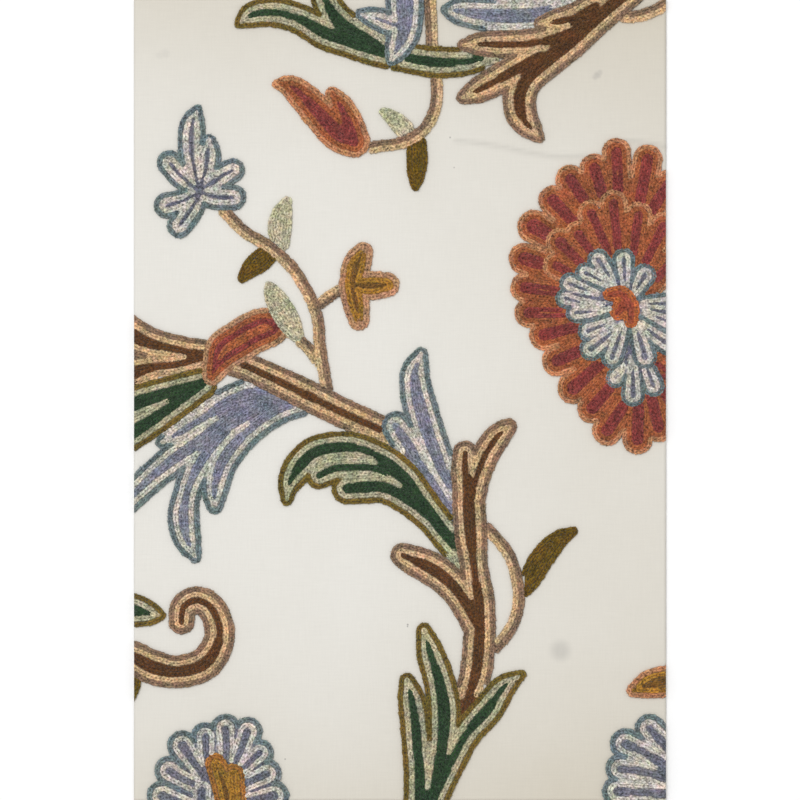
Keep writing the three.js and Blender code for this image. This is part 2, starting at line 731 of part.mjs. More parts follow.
// The wool fillings, each cut back from the ones that lie in front of it and from the panel's edges
function woolFillings() {
  const top = WOOL_BOTTOM + WOOL_THICKNESS;
  const inside = rectangle(PANEL_WIDTH - 2 * WOOL_GAP, PANEL_LENGTH - 2 * WOOL_GAP);
  const limits = block(inside, WOOL_BOTTOM - CUT_REACH, top + CUT_REACH);
  const group = new THREE.Group();
  let front = null;
  for (const [name, motif] of Object.entries(MOTIFS)) {
    let filling = motifSolid(motif, 0, WOOL_BOTTOM, top).intersect(limits);
    if (front) filling = filling.subtract(front);
    const pieces = filling.decompose().filter((piece) => piece.volume() > LEAST_VOLUME);
    pieces.forEach((piece, i) => {
      const label = pieces.length > 1 ? `${name}_${i + 1}` : name;
      group.add(named(label, cleanPiece(piece, WOOL_BOTTOM, top), WOOLS[motif.wool]));
    });
    const cover = motifSolid(motif, WOOL_GAP, WOOL_BOTTOM - CUT_REACH, top + CUT_REACH);
    front = front ? front.add(cover) : cover;
  }
  return group;
}

const panel = new THREE.Group();
panel.name = "crewel_panel";
panel.add(named("ground_cloth", groundCloth(), GROUND));
panel.add(woolFillings());

export default panel;
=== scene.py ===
# The looks of a crewel embroidery panel: cotton ground, rows of wool chain stitch, and their backs.
import json
import math
import re

import bmesh
import bpy
import numpy as np
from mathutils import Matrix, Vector, kdtree, noise


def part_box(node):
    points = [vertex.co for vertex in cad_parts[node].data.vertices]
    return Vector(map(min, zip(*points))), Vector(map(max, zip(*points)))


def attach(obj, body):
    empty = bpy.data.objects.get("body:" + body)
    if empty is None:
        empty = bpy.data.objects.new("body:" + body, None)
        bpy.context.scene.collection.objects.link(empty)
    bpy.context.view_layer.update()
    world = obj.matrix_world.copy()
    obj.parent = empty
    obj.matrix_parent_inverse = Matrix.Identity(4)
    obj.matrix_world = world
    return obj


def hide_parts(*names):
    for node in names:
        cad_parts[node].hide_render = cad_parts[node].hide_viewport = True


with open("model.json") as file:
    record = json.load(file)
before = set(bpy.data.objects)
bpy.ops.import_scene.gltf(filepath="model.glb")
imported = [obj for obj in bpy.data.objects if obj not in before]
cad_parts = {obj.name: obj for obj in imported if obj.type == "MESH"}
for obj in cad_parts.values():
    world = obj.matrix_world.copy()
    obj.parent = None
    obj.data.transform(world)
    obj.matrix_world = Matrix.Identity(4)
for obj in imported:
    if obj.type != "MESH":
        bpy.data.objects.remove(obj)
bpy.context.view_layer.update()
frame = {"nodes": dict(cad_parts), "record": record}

# Sizes in millimetres, in the frame of the part
MM = 0.001
GROUND_LOW, GROUND_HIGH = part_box("ground_cloth")
PANEL_WIDTH = (GROUND_HIGH.x - GROUND_LOW.x) / MM
PANEL_LENGTH = (GROUND_HIGH.y - GROUND_LOW.y) / MM
CLOTH_TOP = 1.2
CLOTH_BOTTOM = 0.4
CLOTH_STEP = 1.6
CLOTH_WAVE = 0.08
BILLOWS, BILLOW_SHARE = (31, 47), 0.55  # lengths of the cloth's waves, and their shares of its lift
RIPPLES, RIPPLE_SHARE = (26, 90), 0.45
PUCKERS, PUCKER_SHARE = 14, 1.1
WEAVE = 0.62
CREASE_HEIGHT = 0.5
CREASE_SPREAD = 1.2
CREASE_BAND = 14
CREASE = [
    # x, y along each stretch that the large flower leaves in sight
    [(28, 129.5), (40, 128.3), (50, 126.7), (60, 124.5), (68, 123), (80, 121.6), (92, 122.2)],
    [(112, 129.5), (121.5, 128.8), (133, 126.4)],
]
STAINS = [
    # x, y, radius, strength
    (80.0, -125.0, 7.5, 0.3),
    (97.4, 161.2, 2.2, 0.28),
    (98.5, 162.2, 2.6, 0.36),
    (99.7, 163.4, 2.2, 0.26),
    (-117.0, 172.8, 3.5, 0.12),
    (-120.0, 172.0, 3.0, 0.1),
    (47.0, 164.5, 3.0, 0.08),
    (25.0, 131.0, 0.7, 0.7),
    (27.0, 116.0, 0.6, 0.6),
    (3.85, -112.1, 0.7, 0.9),
    (3.75, -113.0, 0.6, 0.8),
    (-57.3, -179.2, 0.6, 0.8),
]
EDGE_REACH = 2.5  # rows are worked this far past the cut edges and are then cut with the cloth
EDGE_SHY = 0.1  # the wool's cut ends lie this far inside the cotton's
OVER_FRAME = 0.8  # how much of the panel's length lies outside the picture

ROW = 2.75  # width of a row of chain stitch
STITCH = 1.95  # length of a stitch along its row
YARN = 1.42  # thickness of the wool
LOOP_STEPS = 7
YARN_SIDES = 4
BACK_LEVEL = 0.26  # height of the back stitches, just under the cotton
STEM_HALF = 3.1  # a stem is two rows side by side
LINE_STEP = 0.5  # spacing of the points on a lobe's centre line
THINNEST = 0.4  # least half width of a lobe
STEEPEST = 0.95  # most taper of a lobe
RING_SLACK = 0.3  # how much deeper in the motif than in its own lobe a row may lie
MIDDLE_SLACK = 0.05
SHORTEST_RUN = 2.2
SHORTEST_FILLER = 0.8
FILL_STEP = 0.7
WOBBLE = 0.1
WOBBLE_LENGTH = 5
PAD_STEP = 1.6
PAD_INSET = 0.9
PAD_TUCK = 2.2  # how far a motif's low layer runs in under the motif in front
PAD_TOP = 2.2
PAD_BOTTOM = 1.0
PAD_DROP = 0.008  # each motif's low layer lies this much under the one in front of it

# In rows
NARROWEST = 0.3  # closer than this to the middle, a row gives way to one down the middle
LEAST_GAP = 0.15  # a gap in the middle wider than this is filled by a row
END_GAP = 0.28  # where a row that runs up to a motif in front stops short of it
SIDE_GAP = 0.5  # how far a row keeps from a motif in front that it runs along
WIDEST_GAP = 0.74  # a spot further than this from every row gets a short one of its own
FILLER_INSET = 0.45  # how far such a short row keeps from the motif's edge
FILLER_APART = 0.6  # and from the other rows
BESIDE = 1.4  # rows no further away than this lie beside it
RAY_GAP = 0.7  # how far the other rows keep from a flower's rays
RAY_INSET = 2.85  # how far inside a petal's tip its ray starts
FILL_FROM = 0.45  # the low layer is in the fill's wool where it is further from every row

STEM_SPREAD = 1.08
MIDDLE_SPREADS = (0.6, 1.25)
FILLER_SPREADS = (0.65, 1.15)
FILLER_POINTS = 400
SEED = 7
PLY_TURNS = 4.0  # twists of the wool in one loop
# how much the low layer under the rows is darkened: painted shade in the gaps between them
PAD_PAINTED_SHADE = 0.92
COLOUR_LIFT = 1.18  # a wool's own colour is brighter than it looks in its shaded rows

# The wools' colours, as sRGB from 0 to 255
WOOLS = {
    "olive": (104, 86, 36),
    "sage": (168, 163, 135),
    "forest": (40, 62, 38),
    "teal": (104, 116, 118),
    "cream": (187, 182, 172),
    "lavender": (122, 124, 138),
    "slate": (106, 107, 118),
    "taupe": (130, 105, 84),
    "beige": (190, 161, 123),
    "brown": (88, 56, 28),
    "rust_light": (176, 124, 88),
    "rust": (153, 88, 54),
    "plum": (128, 58, 54),
    "orange": (166, 94, 52),
    "gold": (152, 112, 42),
    "umber": (112, 80, 34),
    "sage_leaf": (178, 172, 144),
    "olive_leaf": (98, 76, 18),
    "clay": (170, 130, 98),
    "amber": (152, 104, 48),
    "brick": (142, 70, 50),
}
BARK = ["taupe", "beige", "brown"]
LEAF = ["olive", "sage", "forest"]
BLUE = ["teal", "cream", "lavender"]
PALE = ["teal", "cream", "slate"]
RED = ["rust_light", "rust", "plum"]

MOTIFS = {}


def shape(name, yarns, *lobes, **ways):
    """A motif of lobes, whose stations have the columns x, y and half width.

    Its wools are listed from the edge inwards. "row" is the width of its rows, "spreads" widens
    their loops row by row, "fill" is the wool of the rows that close its gaps, "rays" is the wool
    of one row down each petal, and the rows from "open_from" on don't turn round the lobes' ends.
    "rim_reach" is how far, in rows, a lobe's outermost row runs on into the next lobe.
    """
    MOTIFS[name] = {"yarns": yarns, "lobes": lobes, "row": ROW, "spreads": [1.0], **ways}


def stem(name, yarns, *line):
    """A motif of two rows: the first wool on the line's right-hand side, the second on its left."""
    MOTIFS[name] = {"stem": yarns, "lobes": [[(x, y, STEM_HALF) for x, y in line]]}


# The motifs, the front one of each crossing pair first
shape(
    "rose_core", ["orange", "brick"],
    [(104.5, 52.5, 3.6), (110.3, 52.7, 4.6), (114.6, 47.5, 4.7), (115.2, 39.5, 3.8)],
    [(108.5, 43.5, 4), (111.5, 47, 5.5)],
)
shape(
    "rose_rosette", PALE,
    [(111.5, 70, 6), (112.5, 56, 4.4)],
    [(99, 69.8, 5.9), (103, 64, 5.2), (107, 57, 4)],
    [(92.8, 63.2, 5.7), (99.5, 60, 4.9), (105, 56, 3.8)],
    [(84.8, 58, 5.7), (92.5, 55, 4.9), (101, 52, 3.8)],
    [(82.8, 50.7, 5.5), (91, 48.8, 4.7), (101, 48, 3.7)],
    [(88, 43.6, 5.6), (96.5, 44, 4.7), (104.5, 45.5, 3.8)],
    [(94.2, 34.6, 5.9), (101, 37.2, 5), (107, 40.5, 4)],
    [(95.4, 25.4, 6.2), (101.5, 30, 5.6), (108, 36, 4.2)],
    [(105.8, 21.5, 5.9), (108.5, 29, 5.5), (111.5, 38, 4.2)],
    [(122.3, 21.6, 6.2), (120, 29.5, 5.6), (117, 38, 4.2)],
    [(122, 62.3, 6), (119, 57, 5.2), (116.5, 52, 4)],
    [(137.5, 48, 6.2), (125, 48, 4.8), (119, 47.5, 3.9)],
    [(137.5, 37.5, 5.8), (127.5, 41.7, 4.8), (120, 44.7, 3.9)],
    [(137.5, 26, 6.3), (127.5, 32, 5.4), (120, 38.5, 4.1)],
    row=2.3, fill="slate", spreads=[1.0, 1.12, 0.7],
)
shape(
    "rose_rosette_low", PALE,
    [(107.6, 11, 5.3), (111, 16.5, 4.2)],
    [(116.2, 2.6, 6.2), (116.2, 15, 5)],
    [(126.5, 7.2, 5.8), (122.5, 17, 4.8)],
    [(114.5, 25, 3), (115, 14, 3)],
    row=2.3, fill="slate", spreads=[1.0, 1.12, 0.7],
)
shape(
    "rose_inner_petals", RED,
    [(106.5, 98, 7.2), (109, 72.5, 7)],
    [(119, 92, 7.2), (116, 71, 7)],
    [(131.5, 86.5, 7.5), (122.5, 69, 7)],
    [(95.5, 93, 7.2), (104, 74, 7)],
    [(89, 82.5, 7.2), (98, 70, 7)],
    [(80, 78.5, 7.7), (91, 67.5, 7)],
    [(78, 67, 7), (88, 62, 7)],
    [(136, 69, 7.2), (125, 57.5, 7)],
    row=2.45, fill="rust", rim_reach=0.15,
)
shape(
    "rose_outer_petals", RED,
    [(123.5, 120, 7.5), (120, 100, 7.5)],
    [(108, 123.5, 7.3), (109, 100, 7.5)],
    [(97, 115.5, 7.5), (102.5, 97.5, 7.5)],
    [(85, 110, 7.5), (95, 95, 7.5)],
    [(76.5, 99.5, 7.7), (90, 85, 7.5)],
    [(67, 86.5, 8.5), (82.5, 77.5, 7.5)],
    [(62, 70.5, 8), (80, 65, 7.5)],
    [(62.5, 56, 7.5), (82.5, 53.5, 7)],
    [(64.5, 43.5, 7.5), (85, 43.5, 7)],
    [(72, 32.5, 7.7), (90, 37, 7.5)],
    [(78.5, 19.5, 7.7), (94, 26.5, 7.5)],
    [(86.5, 6, 8), (101, 19, 7.5)],
    [(96, -4, 7.7), (107, 9, 7.5)],
    [(103.5, -15, 7.7), (113.5, 0, 7.5)],
    [(118.5, -19.5, 7.7), (119, 0, 7.5)],
    [(129, -13.5, 7.5), (125, 2.5, 7.5)],
    [(134, 107.5, 7.5), (124, 92.5, 7.5)],
    [(140, -7.5, 7.5), (131, 5, 7.5)],
    [(142, 5, 7.5), (128, 17, 7)],
    row=2.35, fill="rust", rim_reach=0.15,
)
shape(
    "blue_cluster", BLUE,
    [(2, 205, 10), (2.5, 192.5, 9.5), (1.5, 182.5, 8.5), (-1.5, 175, 6.5), (-4, 170, 3.5)],
    [(-19.5, 192.5, 3), (-12.5, 190.5, 5.7), (-2.5, 187, 6.5)],
)
shape(
    "red_bud_top", RED,
    [(-63, 158, 1.5), (-55, 156.5, 5.5), (-47.5, 150.5, 7.5), (-39, 141.5, 8.5), (-30, 132.5, 9),
     (-23, 129, 8)],
    [(-33.5, 152.5, 4), (-29.5, 146, 6.5), (-26, 137.5, 8), (-23, 129, 8)],
)
shape(
    "branch_top", BARK,
    [(71.5, 129, 1), (66.5, 134, 5), (61, 141.5, 7.7), (59.5, 150, 8.5), (62.5, 159, 8.5),
     (72.5, 169, 9), (85, 179, 9), (97.5, 190, 8.5), (109, 200, 8.5), (116, 206, 8.5)],
    [(70, 188, 3.5), (77.5, 188.5, 6.5), (87.5, 191, 7.5), (97.5, 196, 8)],
    [(31.5, 177, 3), (40, 177.5, 6), (52.5, 177.3, 7.2), (67.5, 178.2, 7.5), (80, 181, 8),
     (92.5, 187, 8)],
    [(31.5, 151, 3.5), (39, 154.5, 6.5), (47.5, 159, 7.5), (57.5, 164.5, 8), (70, 171.5, 8)],
)
shape(
    "blue_leaf_top", BLUE,
    [(22.5, 194.5, 2.5), (29, 194, 6.5), (40, 192.5, 8.3), (55, 191.5, 9), (70, 192.5, 9),
     (87.5, 198, 8.5), (100, 204, 7)],
    [(35, 207, 7), (60, 204.5, 8.5), (85, 207, 8.5)],
)
shape(
    "green_leaf_top", LEAF,
    [(-83, 185, 0), (-75, 191.5, 6), (-64, 193.5, 7.5), (-50, 190, 7.7), (-38, 183.5, 8.5),
     (-26, 179.5, 8.7), (-12, 174.5, 8.2), (2, 171, 7.7), (20, 168.5, 8), (37.5, 169.5, 6.5),
     (52.5, 174, 2.5)],
    [(-39, 204, 7), (-34, 193.5, 8), (-27.5, 185.5, 9.2), (-17, 179.5, 8.8), (-8, 174, 8)],
)
stem(
    "stem_top", ["taupe", "beige"],
    (15, 202.5), (15.5, 187.5), (16.5, 170), (18.5, 156), (17, 144), (12, 135), (2.5, 129),
    (-14, 126),
)
shape("sage_leaf_top", ["sage_leaf"], [(-8.5, 144, 2), (-4, 141, 4), (2, 135.5, 5)])
shape(
    "olive_leaf_top", ["olive_leaf"],
    [(8.5, 127.5, 5), (8.5, 120, 5.4), (8, 111.5, 4.3), (7.75, 106, 2)],
)
stem(
    "stem_corner", ["beige", "taupe"],
    (104, 192), (112.5, 191), (122.5, 192.5), (131, 196.5), (136, 200),
)
shape(
    "small_flower", PALE,
    [(-101.3, 144.7, 2.7), (-103.5, 137.5, 6.3), (-104, 127.5, 7), (-103, 117.5, 6.5),
     (-100.5, 105, 5)],
    [(-95.5, 128.7, 4), (-96, 122.5, 6.8), (-97, 115, 6.5), (-100, 105, 5)],
    [(-83.3, 114.7, 6), (-89, 111.5, 6.5), (-94, 108.3, 6.8), (-100, 104.5, 5)],
    [(-83, 101, 6.4), (-90, 101.2, 6.7), (-95.5, 102.3, 6.6), (-100, 103.5, 5)],
    [(-110, 87, 6.3), (-105, 94, 6.5), (-100, 102, 5.5)],
    [(-116.3, 97, 6.6), (-110, 98.7, 6.2), (-100.5, 103, 5)],
    [(-115, 118.3, 6.3), (-110, 112.5, 6.4), (-101, 104.5, 5)],
    fill="cream", rays="slate", spreads=[1.0, 1.12, 0.6],
)
shape(
    "gold_bud", ["clay", "gold", "umber"],
    [(-18.3, 74.2, 4.8), (-21.5, 67.5, 7.2), (-23.8, 58, 6.9)],
    [(-20.5, 40, 5.3), (-22, 48, 6.8), (-23.8, 57, 6.9)],
    [(-6.5, 57.5, 6.3), (-15, 57, 7.3), (-24, 57.5, 6.5)],
    row=3.0,
)
shape(
    "sage_leaf_low", ["sage_leaf"],
    [(-65.5, 58, 1.7), (-63.5, 53, 4.5), (-59.5, 46, 6), (-55, 38.5, 5.7), (-52, 33, 4)],
)
shape(
    "red_bud_left", ["clay", "rust", "plum", "rust"],
    [(-94, 12, 5), (-90.6, 19.8, 8.1), (-87, 25, 10.2), (-80.6, 29.1, 10.5), (-73.7, 33.3, 10.5),
     (-65.5, 36, 9.6), (-59.5, 32.5, 3)],
    open_from=1,
)
shape(
    "green_cluster", LEAF,
    [(12, -115, 4), (15, -126, 7), (19.5, -140, 8), (22, -155, 8.7), (21.3, -170, 8.2),
     (18.5, -187.5, 8), (15, -205, 7.5)],
    [(3.5, -140, 4), (6, -150, 7.1), (8, -165, 7.8), (8.9, -176, 7.8), (9.8, -187, 8),
     (10, -205, 8.5)],
    [(60.5, -137, 2.5), (52.5, -142.5, 6), (43.5, -154.5, 8), (33.3, -166.3, 7.6),
     (25.6, -180.4, 7.5), (17.5, -195, 8.5), (12.5, -206, 8.5)],
)
shape(
    "branch_upright", BARK,
    [(54, -13.5, 4.5), (48.5, -18.5, 6.5), (42.5, -27.5, 7), (38.5, -37.5, 7), (35, -48, 8)],
    [(32.5, -26.5, 6.3), (32.5, -35, 7.2), (34, -45, 8), (34.5, -55, 8.5), (35.5, -70, 8.2),
     (36.5, -80, 7.3), (37.8, -90, 7.6), (39, -97.5, 8), (39.7, -108, 8), (39.5, -120, 8.2),
     (37.5, -137.5, 8), (32, -152.5, 7), (27.5, -162.5, 6)],
    [(1.5, -77.6, 6.4), (10, -81.3, 7.9), (17.5, -85.2, 8.4), (25, -91.2, 8.2), (30, -97, 8),
     (35, -105, 8), (38.5, -113, 7.5)],
)
shape(
    "green_leaf_mid", LEAF,
    [(-56.5, -50, 3), (-55.3, -42, 5.7), (-50.8, -34, 7.9), (-42.5, -26.2, 8.1), (-30, -23.5, 8),
     (-21, -24.1, 7.6), (-13, -26.9, 7.3), (-8.5, -30.2, 8.1), (-4.5, -33.6, 8.8),
     (3.5, -40.5, 8.3), (9.5, -47.5, 7.5), (14.5, -53.5, 6.8), (20.5, -61.5, 7)],
    [(-40.3, -37.7, 6.8), (-32.5, -34.2, 7.6), (-22, -33.5, 7.5), (-13, -34, 7.1),
     (-6, -37.3, 5.8)],
    [(-26.5, -44.3, 7.8), (-19, -43.5, 8.3), (-7.5, -43.7, 8.1), (4.4, -49.9, 8), (10, -54.5, 7.6),
     (16.1, -58.8, 8.2), (21.3, -65.1, 8.3), (26.4, -70.9, 8.2), (31, -77, 7.8), (35.5, -84.5, 7)],
)
shape(
    "blue_leaf_mid", BLUE,
    [(10.5, 23, 3.5), (7.5, 14, 7.2), (8, 5, 8.3), (10.5, -5, 8.7), (14.3, -17.5, 8.7),
     (18.9, -29.5, 8.3), (21.1, -35.3, 7.9), (25.9, -43.2, 7.9), (29, -52, 7)],
    [(-2, -13, 7.5), (3.5, -21.5, 8), (10, -31.8, 7.5), (18.2, -43.8, 7.4), (27, -58, 6.5)],
)
shape(
    "green_leaf_left", LEAF,
    [(-99, 8, 8), (-115, 3.8, 8.2), (-133, -2, 9.1), (-143, -5.5, 9.8)],
    [(-99, 7, 7), (-115, -4.1, 7.9), (-133, -15.7, 8.8), (-143, -20.4, 9.7)],
)
shape(
    "branch_left", BARK,
    [(-141, 38, 8.5), (-133, 32, 8.8), (-124, 28, 8), (-110, 25, 7.2), (-97.5, 22, 8),
     (-80, 18, 7), (-65, 11.5, 7.2), (-47.5, 3, 7.7), (-30, -5.7, 7.5), (-10, -14.7, 7.3),
     (-2, -18.3, 7.3)],
    [(-141, 9, 9), (-133, 13.5, 8.8), (-125, 16, 7.8), (-110, 18, 7), (-97.5, 21.5, 7.5)],
)
stem(
    "stem_left", ["beige", "taupe"],
    (-89, 95.5), (-77.5, 84), (-64, 75.5), (-53.5, 65.5), (-45.5, 52.5), (-41, 40), (-40, 27.5),
    (-38.5, 17.5), (-36.5, 6),
)
stem("stem_bud", ["taupe", "beige"], (-41, 47), (-36, 51), (-29, 55.5))
stem("stem_arch", ["beige", "taupe"], (-59, 34.5), (-50, 29.5), (-43, 22.5), (-40, 16))
shape(
    "sage_leaf_mid", ["sage_leaf"],
    [(-55.5, 101, 1.5), (-58.5, 94, 4.7), (-60, 86, 6), (-59.5, 78.5, 4.5)],
)
shape(
    "olive_leaf_mid", ["olive_leaf"],
    [(-79.5, 60, 2), (-75, 65, 4.5), (-69.5, 69.5, 5.7), (-65.5, 73, 5)],
)
shape(
    "blue_leaf_left", BLUE,
    [(-118.5, -21, 3.5), (-110, -16.3, 6.8), (-98, -9, 7.2), (-86, -2, 8.8), (-72, 1.5, 10),
     (-58, -1, 8)],
    [(-140, -53.5, 7.5), (-133, -47, 7.2), (-122.8, -37.6, 7.6), (-110.5, -27.8, 8.2),
     (-98.3, -20, 8.8), (-86, -11.5, 9.5), (-72, -3, 10)],
    [(-102, -78.5, 3), (-106, -70, 6.8), (-108, -59, 8), (-106.5, -47.5, 7.2), (-101.3, -34, 7.8),
     (-94.7, -24, 8), (-86, -14, 8)],
    [(-92.5, -52.5, 4.5), (-92.3, -44, 7), (-89.5, -32.5, 8), (-82.8, -22.3, 8), (-72, -12.5, 7.3),
     (-60, -4, 8), (-48, -1, 7)],
)
stem(
    "stem_loop", ["beige", "taupe"],
    (42, -62.5), (50, -71.2), (55.3, -79.2), (58.3, -90), (59.2, -101.5), (55.5, -113.5),
    (48.5, -122.5), (45, -126),
)
shape(
    "olive_leaf_low", ["olive_leaf"],
    [(87.5, -65, 2), (80, -69, 4.5), (71.5, -78, 6), (65.5, -88.5, 5.5), (63, -95, 3)],
)
shape(
    "scroll", BARK,
    [(-140, -126, 8), (-133, -128.5, 8.2), (-122.5, -133.5, 8.7), (-111, -135.5, 8.2),
     (-97.5, -131.5, 8.4), (-90.5, -120.5, 7.7), (-91, -110, 7.4), (-96, -102, 7.1),
     (-102.5, -100, 7), (-108, -103.5, 6.8), (-109, -110.5, 6.5)],
)
shape(
    "green_leaf_edge", LEAF,
    [(-118.5, -107.5, 2), (-125, -106.5, 6), (-133, -105, 8.5), (-142, -104, 9)],
)
shape("olive_leaf_edge", ["olive_leaf"], [(-136, -132, 4), (-135, -140, 6), (-136, -148, 4)])
shape(
    "aster_left_eye", ["amber", "gold", "umber"],
    [(-92, -181.3, 5.3), (-88.5, -190, 6.2), (-86, -199, 6.5)],
    [(-83, -187, 5.7), (-82, -199, 5.5)],
)
shape("aster_left_petal", ["cream", "slate"], [(-98.8, -194.5, 4.9), (-99.3, -206, 4.9)])
shape(
    "aster_left", PALE,
    [(-118.5, -197.5, 7.8), (-105, -202.5, 7)],
    [(-115, -185, 7.5), (-107.5, -189.5, 7), (-97, -194, 7)],
    [(-108.5, -172.5, 7.8), (-103, -180.5, 7.2), (-96.5, -190, 7)],
    [(-97, -168, 7.4), (-96.5, -177.5, 6.8), (-95, -187.5, 6.8)],
    [(-87, -164, 7.5), (-86.5, -175, 7), (-87, -185, 6.5)],
    [(-76, -165.5, 7.5), (-79.5, -175, 7), (-84, -185, 6.5)],
    [(-70, -176, 7), (-77, -182.5, 6.8)],
    [(-66.5, -186.5, 7.5), (-77, -191.5, 7)],
    [(-63, -197.5, 7.8), (-75, -200, 7)],
    fill="slate",
)
shape(
    "aster_right", PALE,
    [(124.5, -164, 7.6), (132.5, -172.5, 7.8), (140, -181, 8)],
    [(112.5, -171.5, 7.8), (122.5, -176.3, 7.6), (135, -184, 8)],
    [(110, -184, 7.6), (122.5, -185.7, 7.6), (137.5, -190, 8)],
    [(108.5, -195.3, 7.8), (122.5, -196, 7.6), (137.5, -197, 8)],
    [(112, -207, 7.4), (125, -206, 7)],
)
shape(
    "gold_leaf_right", ["rust_light", "gold", "umber"],
    [(116.5, -145, 3.5), (124, -142, 7), (132.5, -140.5, 8.2), (140, -140, 8.5)],
)


# Lines and depths


def blend(t, start, stop, a, b):
    """The first value at the start, the second at the stop, and in proportion between."""
    return (stop - t) / (stop - start) * a + (t - start) / (stop - start) * b


def smooth_line(stations):
    """A smooth line through the stations, as rows with the same columns."""
    rows = np.array(stations, float)
    ends = np.vstack([2 * rows[0] - rows[1], rows, 2 * rows[-1] - rows[-2]])
    pieces = []
    for i in range(1, len(ends) - 2):
        p0, p1, p2, p3 = ends[i - 1 : i + 3]
        knots = [0.0]
        for a, b in ((p0, p1), (p1, p2), (p2, p3)):
            knots.append(knots[-1] + math.sqrt(np.linalg.norm((b - a)[:2]) + 1e-9))
        t0, t1, t2, t3 = knots
        count = max(2, int(np.linalg.norm((p2 - p1)[:2]) / LINE_STEP))
        t = np.linspace(t1, t2, count, endpoint=False)[:, None]
        a1, a2, a3 = blend(t, t0, t1, p0, p1), blend(t, t1, t2, p1, p2), blend(t, t2, t3, p2, p3)
        b1, b2 = blend(t, t0, t2, a1, a2), blend(t, t1, t3, a2, a3)
        pieces.append(blend(t, t1, t2, b1, b2))
    pieces.append(rows[-1:])
    return np.vstack(pieces)


class Lobe:
    """A lobe's centre line with its half width, direction, left side and taper at each point."""

    def __init__(self, stations):
        line = smooth_line(stations)
        self.points = line[:, :2]
        self.half = np.maximum(line[:, 2], THINNEST)
        steps = np.gradient(self.points, axis=0)
        lengths = np.linalg.norm(steps, axis=1) + 1e-9
        self.along = steps / lengths[:, None]
        self.left = np.stack([-self.along[:, 1], self.along[:, 0]], axis=1)
        self.taper = np.clip(np.gradient(self.half) / lengths, -STEEPEST, STEEPEST)
        reach = self.half.max() + ROW
        self.low = self.points.min(0) - reach
        self.high = self.points.max(0) + reach


def depth(points, lobes):
    """How far inside the lobes' joined outline each point lies, and below zero outside it."""
    deepest = np.full(len(points), -ROW)
    for lobe in lobes:
        near = np.all((points > lobe.low) & (points < lobe.high), axis=1)
        if not near.any():
            continue
        gaps = points[near][:, None, :] - lobe.points[None, :, :]
        inside = lobe.half[None, :] - np.sqrt((gaps**2).sum(2))
        deepest[near] = np.maximum(deepest[near], inside.max(1))
    return deepest


def in_panel(points):
    wide = PANEL_WIDTH / 2 + EDGE_REACH
    long = PANEL_LENGTH / 2 + EDGE_REACH
    return (np.abs(points[:, 0]) < wide) & (np.abs(points[:, 1]) < long)


def grid_points(xs, ys):
    return np.array([(x, y) for y in ys for x in xs])


def grid_quads(columns, rows):
    """The squares of a grid with so many points across and along, as point numbers."""
    corners = [r * columns + c for r in range(rows - 1) for c in range(columns - 1)]
    return [(a, a + 1, a + 1 + columns, a + columns) for a in corners]


def grid_over(lobes, step):
    """The columns and rows of a square grid over the lobes."""
    low = np.min([lobe.low for lobe in lobes], axis=0)
    high = np.max([lobe.high for lobe in lobes], axis=0)
    return np.arange(low[0], high[0], step), np.arange(low[1], high[1], step)


def gaps_to(points, others):
    """The distance from each point to the nearest of the others."""
    if not len(others):
        return np.full(len(points), 1e3)
    return np.sqrt(((points[:, None, :] - others[None, :, :]) ** 2).sum(2)).min(1)


def search_tree(points):
    tree = kdtree.KDTree(len(points))
    for i, (x, y) in enumerate(points):
        tree.insert((x, y, 0.0), i)
    tree.balance()
    return tree


def drift(x, y, length, level):
    """A smooth random value at a place, from one level of the noise."""
    return noise.noise(Vector((x / length, y / length, level)))


# Rows of chain stitch, each as (points, closed, wool, spread)


def end_arc(lobe, end, radius, start_turn, stop_turn):
    """Points round a lobe's end, between two directions counted from the lobe's own."""
    count = max(2, int(abs(stop_turn - start_turn) * max(radius, 0.1) / LINE_STEP))
    turns = np.linspace(start_turn, stop_turn, count + 1)[1:-1, None]
    way = np.cos(turns) * lobe.along[end] + np.sin(turns) * lobe.left[end]
    return lobe.points[end] + radius * way


def ring(lobe, level, narrowest, open_ended):
    """The line that runs inside a lobe's edge at one depth, and where there is room for it."""
    radius = lobe.half - level
    lean = -lobe.taper[:, None] * lobe.along
    rise = np.sqrt(1 - lobe.taper**2)[:, None] * lobe.left
    left = lobe.points + radius[:, None] * (lean + rise)
    right = lobe.points + radius[:, None] * (lean - rise)
    room = radius > narrowest
    if open_ended:
        points = np.vstack([left, left[-1:], right[::-1]])
        return points, np.concatenate([room, [False], room[::-1]])
    last_turn = math.acos(-lobe.taper[-1])
    first_turn = math.acos(-lobe.taper[0])
    tip = end_arc(lobe, -1, radius[-1], last_turn, -last_turn)
    root = end_arc(lobe, 0, radius[0], -first_turn, first_turn - 2 * math.pi)
    tip_room, root_room = np.full(len(tip), room[-1]), np.full(len(root), room[0])
    points = np.vstack([left, tip, right[::-1], root])
    return points, np.concatenate([room, tip_room, room[::-1], root_room])


def run_length(points):
    return float(np.linalg.norm(np.diff(points, axis=0), axis=1).sum()) if len(points) > 1 else 0.0


def runs(points, keep, closed=False):
    """The stretches of a line that are kept, and whether each closes on itself."""
    if keep.all():
        return [(points, closed)]
    if not keep.any():
        return []
    if closed:
        start = int(np.argmin(keep))
        points, keep = np.roll(points, -start, axis=0), np.roll(keep, -start)
    edges = np.flatnonzero(np.diff(np.concatenate([[0], keep.astype(int), [0]])))
    stretches = [points[a:b] for a, b in zip(edges[::2], edges[1::2])]
    return [(s, False) for s in stretches if run_length(s) > SHORTEST_RUN]


def seen(points, fronts):
    """Where a line is in the panel and clear of the motifs in front, end on or side by side."""
    inside = depth(points, fronts)
    steps = np.linalg.norm(np.gradient(points, axis=0), axis=1) + 1e-9
    slope = np.clip(np.abs(np.gradient(inside)) / steps, 0, 1)
    gap = END_GAP * slope + SIDE_GAP * (1 - slope)
    return in_panel(points) & (inside < -gap * ROW)


